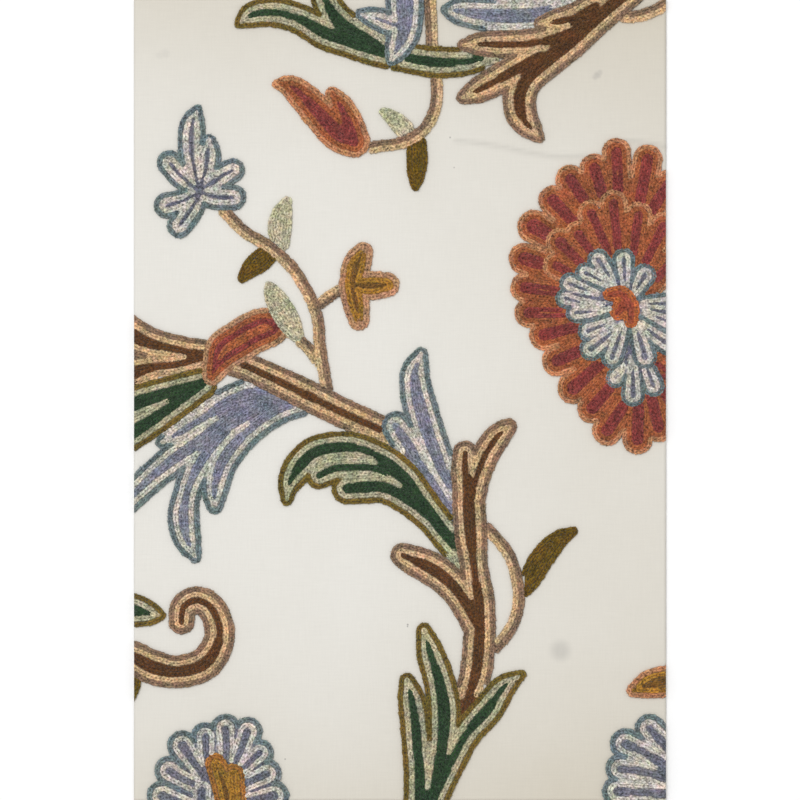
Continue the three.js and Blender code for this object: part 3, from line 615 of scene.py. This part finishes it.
def at_level(values, level):
    """The value that a motif's list gives for a level, counted in rows from its edge."""
    return values[min(level, len(values) - 1)]


def contour_rows(motif, lobes, fronts, rays):
    """Rows that follow the motif's outline, each one row's width inside the last."""
    found = []
    row = motif["row"]
    for lobe in lobes:
        count = int(lobe.half.max() / row + 0.5)
        others = [other for other in lobes if other is not lobe]
        for i in range(count):
            level = (i + 0.5) * row
            open_ended = i >= motif.get("open_from", count)
            points, roomy = ring(lobe, level, NARROWEST * row, open_ended)
            keep = roomy & (depth(points, lobes) < level + RING_SLACK) & seen(points, fronts)
            if i > 0:
                keep &= gaps_to(points, rays) > RAY_GAP * row
            elif "rim_reach" in motif:
                keep &= depth(points, others) < motif["rim_reach"] * row
            wool = at_level(motif["yarns"], i)
            spread = at_level(motif["spreads"], i) * row / ROW
            found += [(*run, wool, spread) for run in runs(points, keep, not open_ended)]
    return found


def middle_rows(motif, lobes, fronts):
    """One row down a lobe's middle, where the rows that follow its outline leave a gap."""
    found = []
    row = motif["row"]
    for lobe in lobes:
        sides = np.maximum(0, np.floor(lobe.half / row + 1 - 0.5 - NARROWEST))
        gap = lobe.half / row - sides
        bare = (gap > LEAST_GAP) & (depth(lobe.points, lobes) < lobe.half + MIDDLE_SLACK)
        bare &= seen(lobe.points, fronts)
        for side_count in np.unique(sides):
            wool = at_level(motif["yarns"], int(side_count))
            for run in runs(lobe.points, bare & (sides == side_count)):
                here = np.isin(lobe.points[:, 0], run[0][:, 0])
                spread = float(np.clip(2 * gap[here].mean() * row / ROW, *MIDDLE_SPREADS))
                found.append((*run, wool, spread))
    return found


def ray_rows(motif, lobes, fronts):
    """One thin row from near each petal's tip to the middle of the flower."""
    found = []
    for lobe in lobes:
        start = max(0, int((RAY_INSET * ROW - lobe.half[0]) / LINE_STEP))
        line = lobe.points[start:]
        spread = at_level(motif["spreads"], 2)
        found += [(*run, motif["rays"], spread) for run in runs(line, seen(line, fronts))]
    return found


def heading(point, lobes):
    """How deep a point lies, and the way that the lobe which holds it runs there."""
    deepest, along = -ROW, None
    for lobe in lobes:
        inside = lobe.half - np.hypot(lobe.points[:, 0] - point[0], lobe.points[:, 1] - point[1])
        i = int(inside.argmax())
        if inside[i] > deepest:
            deepest, along = inside[i], lobe.along[i]
    return deepest, along


def traced(start, way, row, lobes, fronts, placed):
    """A line from a point along the lobes, one way, until it meets another row or an edge."""
    line = []
    point, last = start, None
    while len(line) < FILLER_POINTS:
        deep, along = heading(point, lobes)
        here = point[None, :]
        blocked = depth(here, fronts)[0] > -END_GAP * ROW
        if deep < FILLER_INSET * row or blocked or not in_panel(here)[0]:
            break
        if line and gaps_to(here, placed)[0] < FILLER_APART * row:
            break
        line.append(point)
        ahead = along * way
        last = ahead if last is None or np.dot(ahead, last) > 0 else -ahead
        point = point + LINE_STEP * last
    return line


def points_of(rows):
    return np.vstack([row[0] for row in rows]) if rows else np.zeros((0, 2))


def wools_of(rows):
    """The wool of each point of the rows."""
    return [wool for points, _, wool, _ in rows for _ in points]


def filler_rows(motif, rows, lobes, fronts, placed):
    """Rows along the lobes in the gaps that the others leave, in the wool that most lies beside
    unless the motif names one."""
    row = motif["row"]
    own_points, own_wools = points_of(rows), np.array(wools_of(rows))
    grid = grid_points(*grid_over(lobes, FILL_STEP))
    keep = (depth(grid, lobes) > 0.5 * row) & in_panel(grid)
    grid = grid[keep & (depth(grid, fronts) < -END_GAP * ROW)]
    near = placed[np.all((placed > grid.min(0) - ROW) & (placed < grid.max(0) + ROW), axis=1)]
    tree = search_tree(near)
    gap = np.array([tree.find((x, y, 0.0))[2] for x, y in grid])
    found = []
    while len(gap) and gap.max() > WIDEST_GAP * row:
        start = grid[gap.argmax()]
        width = gap.max() / ROW
        back, ahead = (traced(start, way, row, lobes, fronts, near) for way in (-1, 1))
        line = np.array(back[::-1] + ahead[1:] or [start])
        gap = np.minimum(gap, gaps_to(grid, line))
        if run_length(line) < SHORTEST_FILLER:
            continue
        near = np.vstack([near, line])
        beside = gaps_to(own_points, line) < BESIDE * ROW
        wools = own_wools[beside].tolist() or [motif["yarns"][-1]]
        wool = motif.get("fill") or max(sorted(set(wools)), key=wools.count)
        found.append((line, False, wool, float(np.clip(2 * width - 1, *FILLER_SPREADS))))
    return found


def stem_rows(lobe, fronts, wools):
    found = []
    for wool, side in zip(wools, (-1, 1)):
        points = lobe.points + side * 0.5 * STEM_HALF * lobe.left
        found += [(*run, wool, STEM_SPREAD) for run in runs(points, seen(points, fronts))]
    return found


def motif_rows(motif, lobes, fronts, placed):
    if "stem" in motif:
        return stem_rows(lobes[0], fronts, motif["stem"])
    found = ray_rows(motif, lobes, fronts) if "rays" in motif else []
    found += contour_rows(motif, lobes, fronts, points_of(found))
    if "rays" not in motif:
        found += middle_rows(motif, lobes, fronts)
    placed = np.vstack([placed, points_of(found)])
    return found + filler_rows(motif, found, lobes, fronts, placed)


# Colours and meshes


def linear(colour, lift=1.0):
    """An sRGB colour from 0 to 255 as a linear one with full opacity."""
    values = []
    for c in colour:
        c = c / 255
        c = c / 12.92 if c <= 0.04045 else ((c + 0.055) / 1.055) ** 2.4
        values.append(min(1.0, c * lift))
    return (*values, 1.0)


def wool_colour(name, shade=1.0):
    *colour, opacity = linear(WOOLS[name], COLOUR_LIFT)
    return [shade * c for c in colour] + [opacity]


def add_object(name, data, place=(0.0, 0.0, 0.0)):
    obj = bpy.data.objects.new(name, data)
    obj.location = place
    bpy.context.scene.collection.objects.link(obj)
    return obj


def make_object(name, vertices, faces, edges=()):
    mesh = bpy.data.meshes.new(name)
    mesh.from_pydata(vertices, edges, faces)
    return add_object(name, mesh)


def store_points(obj, name, values):
    """Gives each point of an object a number or a colour."""
    values = np.array(values, np.float32)
    kind, key = ("FLOAT", "value") if values.ndim == 1 else ("FLOAT_COLOR", "color")
    obj.data.attributes.new(name, kind, "POINT").data.foreach_set(key, values.ravel())


def path_object(name, rows):
    """The rows of one wool group as lines of edges, each point with its wool and width."""
    vertices, edges, spreads = [], [], []
    for points, closed, _, spread in rows:
        first = len(vertices)
        for x, y in points:
            dx, dy = (WOBBLE * drift(x, y, WOBBLE_LENGTH, level) for level in (0.5, 9.5))
            vertices.append(((x + dx) * MM, (y + dy) * MM, CLOTH_TOP * MM))
        last = len(vertices) - 1
        edges += [(i, i + 1) for i in range(first, last)]
        if closed:
            edges.append((last, first))
        spreads += [spread] * len(points)
    obj = make_object(name, vertices, [], edges)
    store_points(obj, "wool", [wool_colour(wool) for wool in wools_of(rows)])
    store_points(obj, "spread", spreads)
    return obj


def closed_sheet(tops, bottoms, quads):
    """Vertices and faces of a closed shell over some squares of a grid, from its two levels."""
    count = len(tops)
    faces = quads + [tuple(count + i for i in reversed(q)) for q in quads]
    sides = set()
    for q in quads:
        for a, b in zip(q, q[1:] + q[:1]):
            if (b, a) in sides:
                sides.remove((b, a))
            else:
                sides.add((a, b))
    faces += [(b, a, count + a, count + b) for a, b in sorted(sides)]
    return tops + bottoms, faces


def pad_object(name, motif, rows, lobes, fronts, top):
    """The low layer of wool under a motif's rows, which closes the gaps between them."""
    xs, ys = grid_over(lobes, PAD_STEP)
    grid = grid_points(xs, ys)
    keep = (depth(grid, lobes) > PAD_INSET) & (depth(grid, fronts) < PAD_TUCK) & in_panel(grid)
    quads = [quad for quad in grid_quads(len(xs), len(ys)) if all(keep[i] for i in quad)]
    if not quads:
        return None
    used = sorted({i for quad in quads for i in quad})
    number = {i: k for k, i in enumerate(used)}
    quads = [tuple(number[i] for i in quad) for quad in quads]
    tops = [(x * MM, y * MM, top * MM) for x, y in grid[used]]
    bottoms = [(x, y, PAD_BOTTOM * MM) for x, y, _ in tops]
    obj = make_object(name, *closed_sheet(tops, bottoms, quads))
    tree, wools = search_tree(points_of(rows)), wools_of(rows)
    found = [tree.find((x, y, 0.0)) for x, y in grid[used]]
    between = FILL_FROM * motif["row"] if "fill" in motif else math.inf
    nearest = [motif["fill"] if gap > between else wools[k] for _, k, gap in found]
    # the low layer's colours are darkened a little: painted shade in the gaps between the rows
    colours = [wool_colour(wool, PAD_PAINTED_SHADE) for wool in nearest]
    store_points(obj, "wool", colours + colours)
    store_points(obj, "shade", [0.0] * (2 * len(used)))
    return obj


def cut_to_panel(piece):
    """Cuts the wool off at the panel's four cut edges and closes its cut faces."""
    mesh = bmesh.new()
    mesh.from_mesh(piece.data)
    for axis, size in enumerate((PANEL_WIDTH, PANEL_LENGTH)):
        reach = size / 2 - EDGE_SHY
        for sign in (-1, 1):
            out = Vector([sign if i == axis else 0 for i in range(3)])
            if max(v.co.dot(out) for v in mesh.verts) < reach * MM:
                continue
            everything = mesh.verts[:] + mesh.edges[:] + mesh.faces[:]
            bmesh.ops.bisect_plane(
                mesh, geom=everything, plane_co=out * reach * MM, plane_no=out, clear_outer=True
            )
            rim = [edge for edge in mesh.edges if edge.is_boundary]
            for face in bmesh.ops.holes_fill(mesh, edges=rim, sides=0)["faces"]:
                face.smooth = False
                if face.normal.dot(out) < 0:
                    face.normal_flip()
    mesh.to_mesh(piece.data)
    mesh.free()


def join(objects):
    target = objects[0]
    chosen = {"selected_objects": objects, "selected_editable_objects": objects}
    with bpy.context.temp_override(active_object=target, object=target, **chosen):
        bpy.ops.object.join()
    return target


# Node trees


class Tree:
    """A node tree under construction. Its calls add a node, join it and return what it gives."""

    def __init__(self, tree):
        self.nodes, self.links = tree.nodes, tree.links

    def add(self, kind, inputs=None, **settings):
        """All outputs of a new node. An input is a value, an output, or a list of outputs."""
        node = self.nodes.new(kind)
        for key, value in settings.items():
            setattr(node, key, value)
        for key, value in (inputs or {}).items():
            if isinstance(value, (bpy.types.NodeSocket, list)):
                for source in value if isinstance(value, list) else [value]:
                    self.links.new(source, node.inputs[key])
            else:
                node.inputs[key].default_value = value
        return node.outputs

    def geo(self, kind, inputs=None, **settings):
        return self.add("GeometryNode" + kind, inputs, **settings)[0]

    def maths(self, operation, a, b=0.0, c=0.0):
        return self.add("ShaderNodeMath", {0: a, 1: b, 2: c}, operation=operation)[0]

    def times(self, a, b):
        return self.maths("MULTIPLY", a, b)

    def plus(self, a, b):
        return self.maths("ADD", a, b)

    def swung(self, value, swing):
        """A value between 0 and 1, stretched to that swing and set round zero."""
        return self.maths("MULTIPLY_ADD", value, swing, -swing / 2)

    def vectors(self, operation, *values):
        return self.add("ShaderNodeVectorMath", dict(enumerate(values)), operation=operation)[0]

    def scaled(self, vector, factor):
        inputs = {0: vector, "Scale": factor}
        return self.add("ShaderNodeVectorMath", inputs, operation="SCALE")[0]

    def xyz(self, x, y, z):
        return self.add("ShaderNodeCombineXYZ", {0: x, 1: y, 2: z})[0]

    def split(self, vector):
        return self.add("ShaderNodeSeparateXYZ", {0: vector})

    def grain(self, place, scale, detail):
        """A noise texture's value and colour."""
        inputs = {"Vector": place, "Scale": scale, "Detail": detail}
        return self.add("ShaderNodeTexNoise", inputs)[:2]

    def attribute(self, name, output="Fac"):
        return self.add("ShaderNodeAttribute", attribute_name=name)[output]

    def chance(self, least, most, seed):
        """A random number between two, or a random vector."""
        if isinstance(least, tuple):
            inputs = {0: least, 1: most, "Seed": seed}
            return self.add("FunctionNodeRandomValue", inputs, data_type="FLOAT_VECTOR")[0]
        return self.add("FunctionNodeRandomValue", {2: least, 3: most, "Seed": seed})[1]

    def named(self, name):
        return self.geo("InputNamedAttribute", {"Name": name}, data_type="FLOAT")

    def stored(self, geometry, name, value, domain, kind="FLOAT"):
        inputs = {"Geometry": geometry, "Name": name, "Value": value}
        return self.geo("StoreNamedAttribute", inputs, data_type=kind, domain=domain)


ROW_SIZES = {
    "Stitch length": STITCH * MM,
    "Loop half length": 1.42 * MM,
    "Loop half width": 0.74 * MM,
    "Yarn thickness": YARN * MM,
    "Arch": 0.26 * MM,
    "Back length": 0.9 * MM,
    "Back thickness": 0.4 * MM,
    "Hair length": 0.9 * MM,
    "Hair thickness": 0.07 * MM,
    "Hairs per square metre": 260000.0,
}


def chain_tree(material):
    """Sets a chain loop on each stitch of the rows, loose hairs on it, and a back stitch below."""
    group = bpy.data.node_groups.new("chain_stitch_rows", "GeometryNodeTree")
    sockets = [("Float", name, size) for name, size in ROW_SIZES.items()]
    sockets += [("Int", "Seed", SEED), ("Material", "Wool", material)]
    add_socket = group.interface.new_socket
    add_socket("Rows", in_out="INPUT", socket_type="NodeSocketGeometry")
    for kind, name, value in sockets:
        socket = add_socket(name, in_out="INPUT", socket_type="NodeSocket" + kind)
        socket.default_value = value
    add_socket("Stitches", in_out="OUTPUT", socket_type="NodeSocketGeometry")

    t = Tree(group)
    given = t.add("NodeGroupInput")
    line = t.geo("MeshToCurve", {"Mesh": given["Rows"]})
    even = t.geo("ResampleCurve", {"Curve": line, "Length": given["Stitch length"]}, mode="LENGTH")
    tangent = {"Vector": t.geo("InputTangent")}
    facing = t.add("FunctionNodeAlignRotationToVector", tangent, axis="X", pivot_axis="Z")[0]
    tone = t.chance(-1.0, 1.0, given["Seed"])
    loops = chain_loops(t, given, even, facing, tone)
    hairs = loose_hairs(t, given, loops)
    backs = back_stitches(t, given, even, facing, tone)
    every = t.geo("JoinGeometry", {0: [loops, hairs, backs]})
    finished = t.geo("SetMaterial", {"Geometry": every, "Material": given["Wool"]})
    t.add("NodeGroupOutput", {0: finished})
    return group


def chain_loops(t, given, points, facing, tone):
    """A loop of wool on each point, turned, widened and swollen a little at random."""
    jitter = t.chance((-0.2, -0.07, -0.2), (0.2, 0.07, 0.2), given["Seed"])
    turn = {"Rotation": facing, "Rotate By": jitter}
    turned = t.add("FunctionNodeRotateRotation", turn, rotation_space="LOCAL")[0]
    swell = t.chance(0.93, 1.1, given["Seed"])
    scale = t.xyz(swell, t.times(t.named("spread"), swell), swell)
    loop = one_loop(t, given)
    placed = t.geo(
        "InstanceOnPoints",
        {"Points": points, "Instance": loop, "Rotation": turned, "Scale": scale},
    )
    real = t.geo("RealizeInstances", {0: t.stored(placed, "shade", tone, "INSTANCE")})
    return t.geo("SetShadeSmooth", {0: real})


def one_loop(t, given):
    """One loop of wool, narrow where it comes up and round where the next one holds it down."""
    thickness, arch = given["Yarn thickness"], given["Arch"]
    circle = t.geo("CurvePrimitiveCircle", {"Resolution": LOOP_STEPS, "Radius": 1.0})
    x, y, _ = t.split(t.geo("InputPosition"))
    widening = t.maths("MULTIPLY_ADD", x, 0.5, 1.0)
    side = t.times(t.times(y, widening), given["Loop half width"])
    lift = t.times(t.maths("SUBTRACT", 1.0, t.times(x, x)), arch)
    tilt = t.times(x, t.times(arch, 0.45))
    height = t.plus(t.plus(lift, tilt), t.times(thickness, 0.42))
    where = t.xyz(t.times(x, given["Loop half length"]), side, height)
    bent = t.geo("SetPosition", {"Geometry": circle, "Position": where})
    round_wool = {"Resolution": YARN_SIDES, "Radius": t.times(thickness, 0.5)}
    section = t.geo("CurvePrimitiveCircle", round_wool)
    index = t.geo("InputIndex")
    main = t.stored(bent, "turn", t.maths("DIVIDE", index, LOOP_STEPS), "POINT")
    profile = t.stored(section, "side", t.maths("DIVIDE", index, YARN_SIDES), "POINT")
    mapped = t.geo("CurveToMesh", {"Curve": main, "Profile Curve": profile})
    unrolled = []
    for name in ("turn", "side"):
        raw = t.named(name)
        middle = t.geo("FieldOnDomain", {0: raw}, domain="FACE", data_type="FLOAT")
        wraps = t.maths("GREATER_THAN", t.maths("SUBTRACT", middle, raw), 0.3)
        unrolled.append(t.plus(raw, wraps))
    mapped = t.stored(mapped, "yarn", t.xyz(*unrolled, 0.0), "CORNER", "FLOAT2")
    for name in ("turn", "side"):
        mapped = t.geo("RemoveAttribute", {"Geometry": mapped, "Name": name})
    return mapped


def loose_hairs(t, given, loops):
    """Short stray hairs that lean out of the wool every way."""
    upward = t.split(t.geo("InputNormal"))[2]
    roots = t.add(
        "GeometryNodeDistributePointsOnFaces",
        {
            "Mesh": loops,
            "Selection": t.maths("GREATER_THAN", upward, -0.2),
            "Density": given["Hairs per square metre"],
            "Seed": given["Seed"],
        },
    )
    lean = t.chance((-1.4, -1.4, -0.5), (1.4, 1.4, 0.3), given["Seed"])
    way = {"Vector": t.vectors("ADD", roots["Normal"], lean)}
    turned = t.add("FunctionNodeAlignRotationToVector", way, axis="Z")[0]
    hair = t.geo(
        "MeshCone",
        {
            "Vertices": 3,
            "Radius Top": 0.0,
            "Radius Bottom": given["Hair thickness"],
            "Depth": given["Hair length"],
        },
    )
    size = t.chance(0.6, 1.4, given["Seed"])
    hairs = t.geo(
        "InstanceOnPoints",
        {"Points": roots["Points"], "Instance": hair, "Rotation": turned, "Scale": size},
    )
    return t.geo("RealizeInstances", {0: hairs})


def back_stitches(t, given, points, facing, tone):
    """The short straight stitches that the rows leave on the cloth's underside."""
    dash = t.geo("MeshIcoSphere", {"Radius": 1.0, "Subdivisions": 1})
    thickness = given["Back thickness"]
    size = t.xyz(given["Back length"], thickness, t.times(thickness, 0.55))
    shaped = t.geo("Transform", {"Geometry": dash, "Scale": size})
    placed = t.geo(
        "InstanceOnPoints", {"Points": points, "Instance": shaped, "Rotation": facing}
    )
    below = (STITCH / 2 * MM, 0, (BACK_LEVEL - CLOTH_TOP) * MM)
    under = t.geo("TranslateInstances", {"Instances": placed, "Translation": below})
    real = t.geo("RealizeInstances", {0: t.stored(under, "shade", tone, "INSTANCE")})
    return t.geo("SetShadeSmooth", {0: real})


def plain_mesh(obj, tree, material):
    """Runs the tree on the object once and keeps the result as a plain mesh."""
    modifier = obj.modifiers.new("rows", "NODES")
    modifier.node_group = tree
    values = {**ROW_SIZES, "Seed": SEED, "Wool": material}
    for item in tree.interface.items_tree:
        if item.name in values:
            modifier[item.identifier] = values[item.name]
    graph = bpy.context.evaluated_depsgraph_get()
    mesh = bpy.data.meshes.new_from_object(
        obj.evaluated_get(graph), preserve_all_data_layers=True, depsgraph=graph
    )
    obj.modifiers.clear()
    obj.data = mesh
    return obj


# Materials


def new_material(name, values):
    """A material with its tree and its surface's inputs, of which some are given by name."""
    material = bpy.data.materials.new(name)
    material.use_nodes = True
    t = Tree(material.node_tree)
    surface = t.nodes["Principled BSDF"].inputs
    for key, value in values.items():
        surface[key].default_value = value
    return material, t, surface


def finish_surface(t, surface, colour, bump):
    t.links.new(colour, surface["Base Color"])
    t.links.new(t.add("ShaderNodeBump", bump)[0], surface["Normal"])


def wool_material():
    """Two-ply crewel wool: twisted plies along the yarn, fine fibres and uneven dye."""
    values = {"Roughness": 0.92, "Specular IOR Level": 0.2}
    values |= {"Sheen Weight": 0.2, "Sheen Roughness": 0.5}
    material, t, surface = new_material("crewel_wool", values)
    place = t.add("ShaderNodeTexCoord")["Object"]
    along, around, _ = t.split(t.attribute("yarn", "Vector"))
    turns = t.maths("MULTIPLY_ADD", along, PLY_TURNS, t.times(around, 2.0))
    ply_ridges_and_shade = t.maths("SINE", t.times(turns, 2 * math.pi))
    patches, bath = t.grain(place, 120.0, 2.0)
    fibres = t.grain(place, 900.0, 3.0)[0]
    heather = t.grain(place, 500.0, 2.0)[1]
    level = t.maths("MULTIPLY_ADD", t.attribute("shade"), 0.17, 1.0)
    level = t.plus(level, t.swung(patches, 0.5))
    level = t.plus(level, t.swung(fibres, 3.2))
    # lighter on the plies' crests and darker in the grooves between them: painted highlight and
    # painted shade
    level = t.plus(level, t.times(ply_ridges_and_shade, 0.1))
    fleck = t.vectors("MULTIPLY_ADD", heather, (0.32, 0.28, 0.4), (0.84, 0.86, 0.8))
    bath = t.vectors("MULTIPLY_ADD", bath, (0.45, 0.2, 0.4), (0.775, 0.9, 0.8))
    dyed = t.vectors("MULTIPLY", t.attribute("wool", "Color"), fleck)
    dyed = t.scaled(t.vectors("MULTIPLY", dyed, bath), level)
    height = t.maths("MULTIPLY_ADD", ply_ridges_and_shade, 0.35, fibres)
    bump = {"Height": height, "Strength": 0.7, "Distance": 0.25 * MM}
    finish_surface(t, surface, dyed, bump)
    return material


def stain_marks(t, place):
    """How strongly the stains colour each place."""
    mark = None
    for x, y, radius, strength in STAINS:
        offset = t.vectors("SUBTRACT", place, (x * MM, y * MM, CLOTH_TOP * MM))
        away = t.add("ShaderNodeVectorMath", {0: offset}, operation="LENGTH")["Value"]
        fade = {"Value": away, "From Min": 0.2 * radius * MM, "From Max": radius * MM}
        fade |= {"To Min": strength, "To Max": 0.0}
        soft = t.add("ShaderNodeMapRange", fade, interpolation_type="SMOOTHSTEP")[0]
        mark = soft if mark is None else t.maths("MAXIMUM", mark, soft)
    return mark


def cotton_material():
    """Off-white cotton: uneven threads in a plain weave, yellowed and in painted shade to its ends
    and right side.
    """
    values = {"Roughness": 0.9, "Specular IOR Level": 0.25, "Sheen Weight": 0.15}
    material, t, surface = new_material("ground_cotton", values)
    place = t.add("ShaderNodeTexCoord")["Object"]
    x, y, _ = t.split(place)
    streaks = []
    for stretch in ((1300.0, 90.0, 1.0), (90.0, 1300.0, 1.0)):
        mapped = t.add("ShaderNodeMapping", {"Vector": place, "Scale": stretch})[0]
        streaks.append(t.grain(mapped, 1.0, 2.0)[0])
    threads = t.plus(*streaks)
    clouds = t.grain(place, 14.0, 3.0)[0]
    # darker and yellower to the right side and the ends: partly the cotton's yellowing, partly
    # painted shade where the light falls off
    right = t.times(t.maths("MAXIMUM", t.plus(x, 0.03), 0.0), 2.3)
    ends = t.maths("ABSOLUTE", t.maths("DIVIDE", y, PANEL_LENGTH / 2 * MM))
    yellowing_and_shade = t.maths("MULTIPLY_ADD", t.maths("POWER", ends, 3.0), 0.6, t.plus(right, 0.1))
    yellow_and_shade_share = t.add("ShaderNodeClamp", {"Value": t.plus(yellowing_and_shade, t.swung(clouds, 0.3))})[0]
    colour = linear((229, 227, 221))
    for share, other in ((yellow_and_shade_share, (207, 200, 185)), (stain_marks(t, place), (150, 148, 145))):
        inputs = {0: share, 6: colour, 7: linear(other)}
        colour = t.add("ShaderNodeMix", inputs, data_type="RGBA")[2]
    level = t.maths("MULTIPLY_ADD", threads, 0.06, 0.94)
    # a faint darker line along the crease: painted shade
    level = t.maths("MULTIPLY_ADD", t.attribute("crease"), -0.12, level)
    over, under = (t.maths("SINE", t.times(axis, 2 * math.pi / (WEAVE * MM))) for axis in (x, y))
    height = t.plus(t.times(t.times(over, under), 0.25), threads)
    bump = {"Height": height, "Strength": 0.35, "Distance": 0.12 * MM}
    finish_surface(t, surface, t.scaled(colour, level), bump)
    return material


# Pieces


def crease_share(points):
    """How much of the soft crease's height, and of its painted shade, each point has, from 0 to 1.
    """
    line = np.vstack([smooth_line(part) for part in CREASE])
    share = np.zeros(len(points))
    near = np.abs(points[:, 1] - line[:, 1].mean()) < CREASE_BAND
    share[near] = np.exp(-((gaps_to(points[near], line) / CREASE_SPREAD) ** 2))
    return share


def face_lift(points):
    """The gentle rise and fall of the laid cloth."""
    x, y = points[:, 0], points[:, 1]
    billows = np.sin(x / BILLOWS[0] + 0.7) * np.cos(y / BILLOWS[1] - 0.4)
    ripples = np.sin(y / RIPPLES[0] + x / RIPPLES[1])
    puckers = np.array([drift(px, py, PUCKERS, 3.0) for px, py in points])
    waves = BILLOW_SHARE * billows + RIPPLE_SHARE * ripples + PUCKER_SHARE * puckers
    return CLOTH_WAVE * waves


def ground_cloth(material):
    """The cotton: a fine grid for its face, cut edges and a flat underside."""
    columns = round(PANEL_WIDTH / CLOTH_STEP)
    rows = round(PANEL_LENGTH / CLOTH_STEP)
    xs = np.linspace(-PANEL_WIDTH / 2, PANEL_WIDTH / 2, columns + 1)
    ys = np.linspace(-PANEL_LENGTH / 2, PANEL_LENGTH / 2, rows + 1)
    grid = grid_points(xs, ys)
    crease = crease_share(grid)
    lift = face_lift(grid) + CREASE_HEIGHT * crease
    vertices = [(x * MM, y * MM, (CLOTH_TOP + z) * MM) for (x, y), z in zip(grid, lift)]
    faces = grid_quads(columns + 1, rows + 1)
    wide = columns + 1
    rim = list(range(columns))
    rim += [r * wide + columns for r in range(rows)]
    rim += [rows * wide + c for c in range(columns, 0, -1)]
    rim += [r * wide for r in range(rows, 0, -1)]
    foot = len(vertices)
    vertices += [(vertices[i][0], vertices[i][1], CLOTH_BOTTOM * MM) for i in rim]
    middle = len(vertices)
    vertices.append((0.0, 0.0, CLOTH_BOTTOM * MM))
    for k in range(len(rim)):
        n = (k + 1) % len(rim)
        faces += [(rim[n], rim[k], foot + k, foot + n), (middle, foot + n, foot + k)]
    cloth = make_object("cotton_ground", vertices, faces)
    smooth = np.arange(len(faces)) < rows * columns
    cloth.data.polygons.foreach_set("use_smooth", smooth)
    # the crease's share also darkens the cotton along it, as painted shade
    store_points(cloth, "crease", np.pad(crease, (0, len(vertices) - len(crease))))
    cloth.data.materials.append(material)
    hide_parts("ground_cloth")
    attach(cloth, "root")
    return cloth


def nodes_of(name):
    """The CAD nodes of a motif: its own name, or its name and a number."""
    return [n for n in frame["nodes"] if re.fullmatch(name + r"(_\d+)?", n)]


def wool_pieces(material):
    """One piece for each of the record's wool slots: its motifs' rows and the layer under them."""
    slots = {s["node"]: s["material_slot"] for s in frame["record"]["subparts"]}
    groups = {}
    fronts = []
    placed = points_of([])
    for order, (name, motif) in enumerate(MOTIFS.items()):
        lobes = [Lobe(stations) for stations in motif["lobes"]]
        nodes = nodes_of(name)
        group = groups.setdefault(slots[nodes[0]], {"rows": [], "pads": [], "nodes": []})
        rows = motif_rows(motif, lobes, fronts, placed)
        top = PAD_TOP - order * PAD_DROP
        group["rows"] += rows
        group["pads"].append(pad_object("pad_" + name, motif, rows, lobes, fronts, top))
        group["nodes"] += nodes
        fronts = fronts + lobes
        placed = np.vstack([placed, points_of(rows)])
    tree = chain_tree(material)
    pieces = []
    for slot, group in groups.items():
        rows = plain_mesh(path_object(slot + "_rows", group["rows"]), tree, material)
        piece = join([rows] + [pad for pad in group["pads"] if pad])
        cut_to_panel(piece)
        piece.data.materials.clear()
        piece.data.materials.append(material)
        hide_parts(*group["nodes"])
        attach(piece, "root")
        pieces.append(piece)
    return pieces


# The stage, in metres


def floor(half=1.5):
    corners = [(-half, -half, 0), (half, -half, 0), (half, half, 0), (-half, half, 0)]
    obj = make_object("floor", corners, [(0, 1, 2, 3)])
    values = {"Base Color": linear((252, 252, 252)), "Roughness": 0.9}
    obj.data.materials.append(new_material("pale_floor", values)[0])
    return obj


def area_light(name, place, aim, size, power):
    light = bpy.data.lights.new(name, "AREA")
    light.shape = "SQUARE"
    light.size = size
    light.energy = power
    obj = add_object(name, light, place)
    obj.rotation_euler = (Vector(aim) - Vector(place)).to_track_quat("-Z", "Y").to_euler()


def studio(surround=0.75):
    """An even white surround, and one large soft light from the upper left."""
    world = bpy.data.worlds.new("studio")
    world.use_nodes = True
    background = world.node_tree.nodes["Background"].inputs
    background["Color"].default_value = (1.0, 1.0, 1.0, 1.0)
    background["Strength"].default_value = surround
    bpy.context.scene.world = world
    area_light("window", place=(-1.6, 1.9, 5.2), aim=(0, 0, 0), size=2.6, power=120.0)
    bpy.context.scene.view_settings.view_transform = "Standard"


def camera(height=2.4):
    """Straight down, with the panel's length just past the picture's top and bottom."""
    data = bpy.data.cameras.new("camera")
    data.sensor_width = 36.0
    data.lens = data.sensor_width * (height - CLOTH_TOP * MM) / ((PANEL_LENGTH - OVER_FRAME) * MM)
    data.clip_end = 20.0
    bpy.context.scene.camera = add_object("camera", data, (0.0, 0.0, height))


camera()
studio()
ground = floor()
cloth = ground_cloth(cotton_material())
wools = wool_pieces(wool_material())
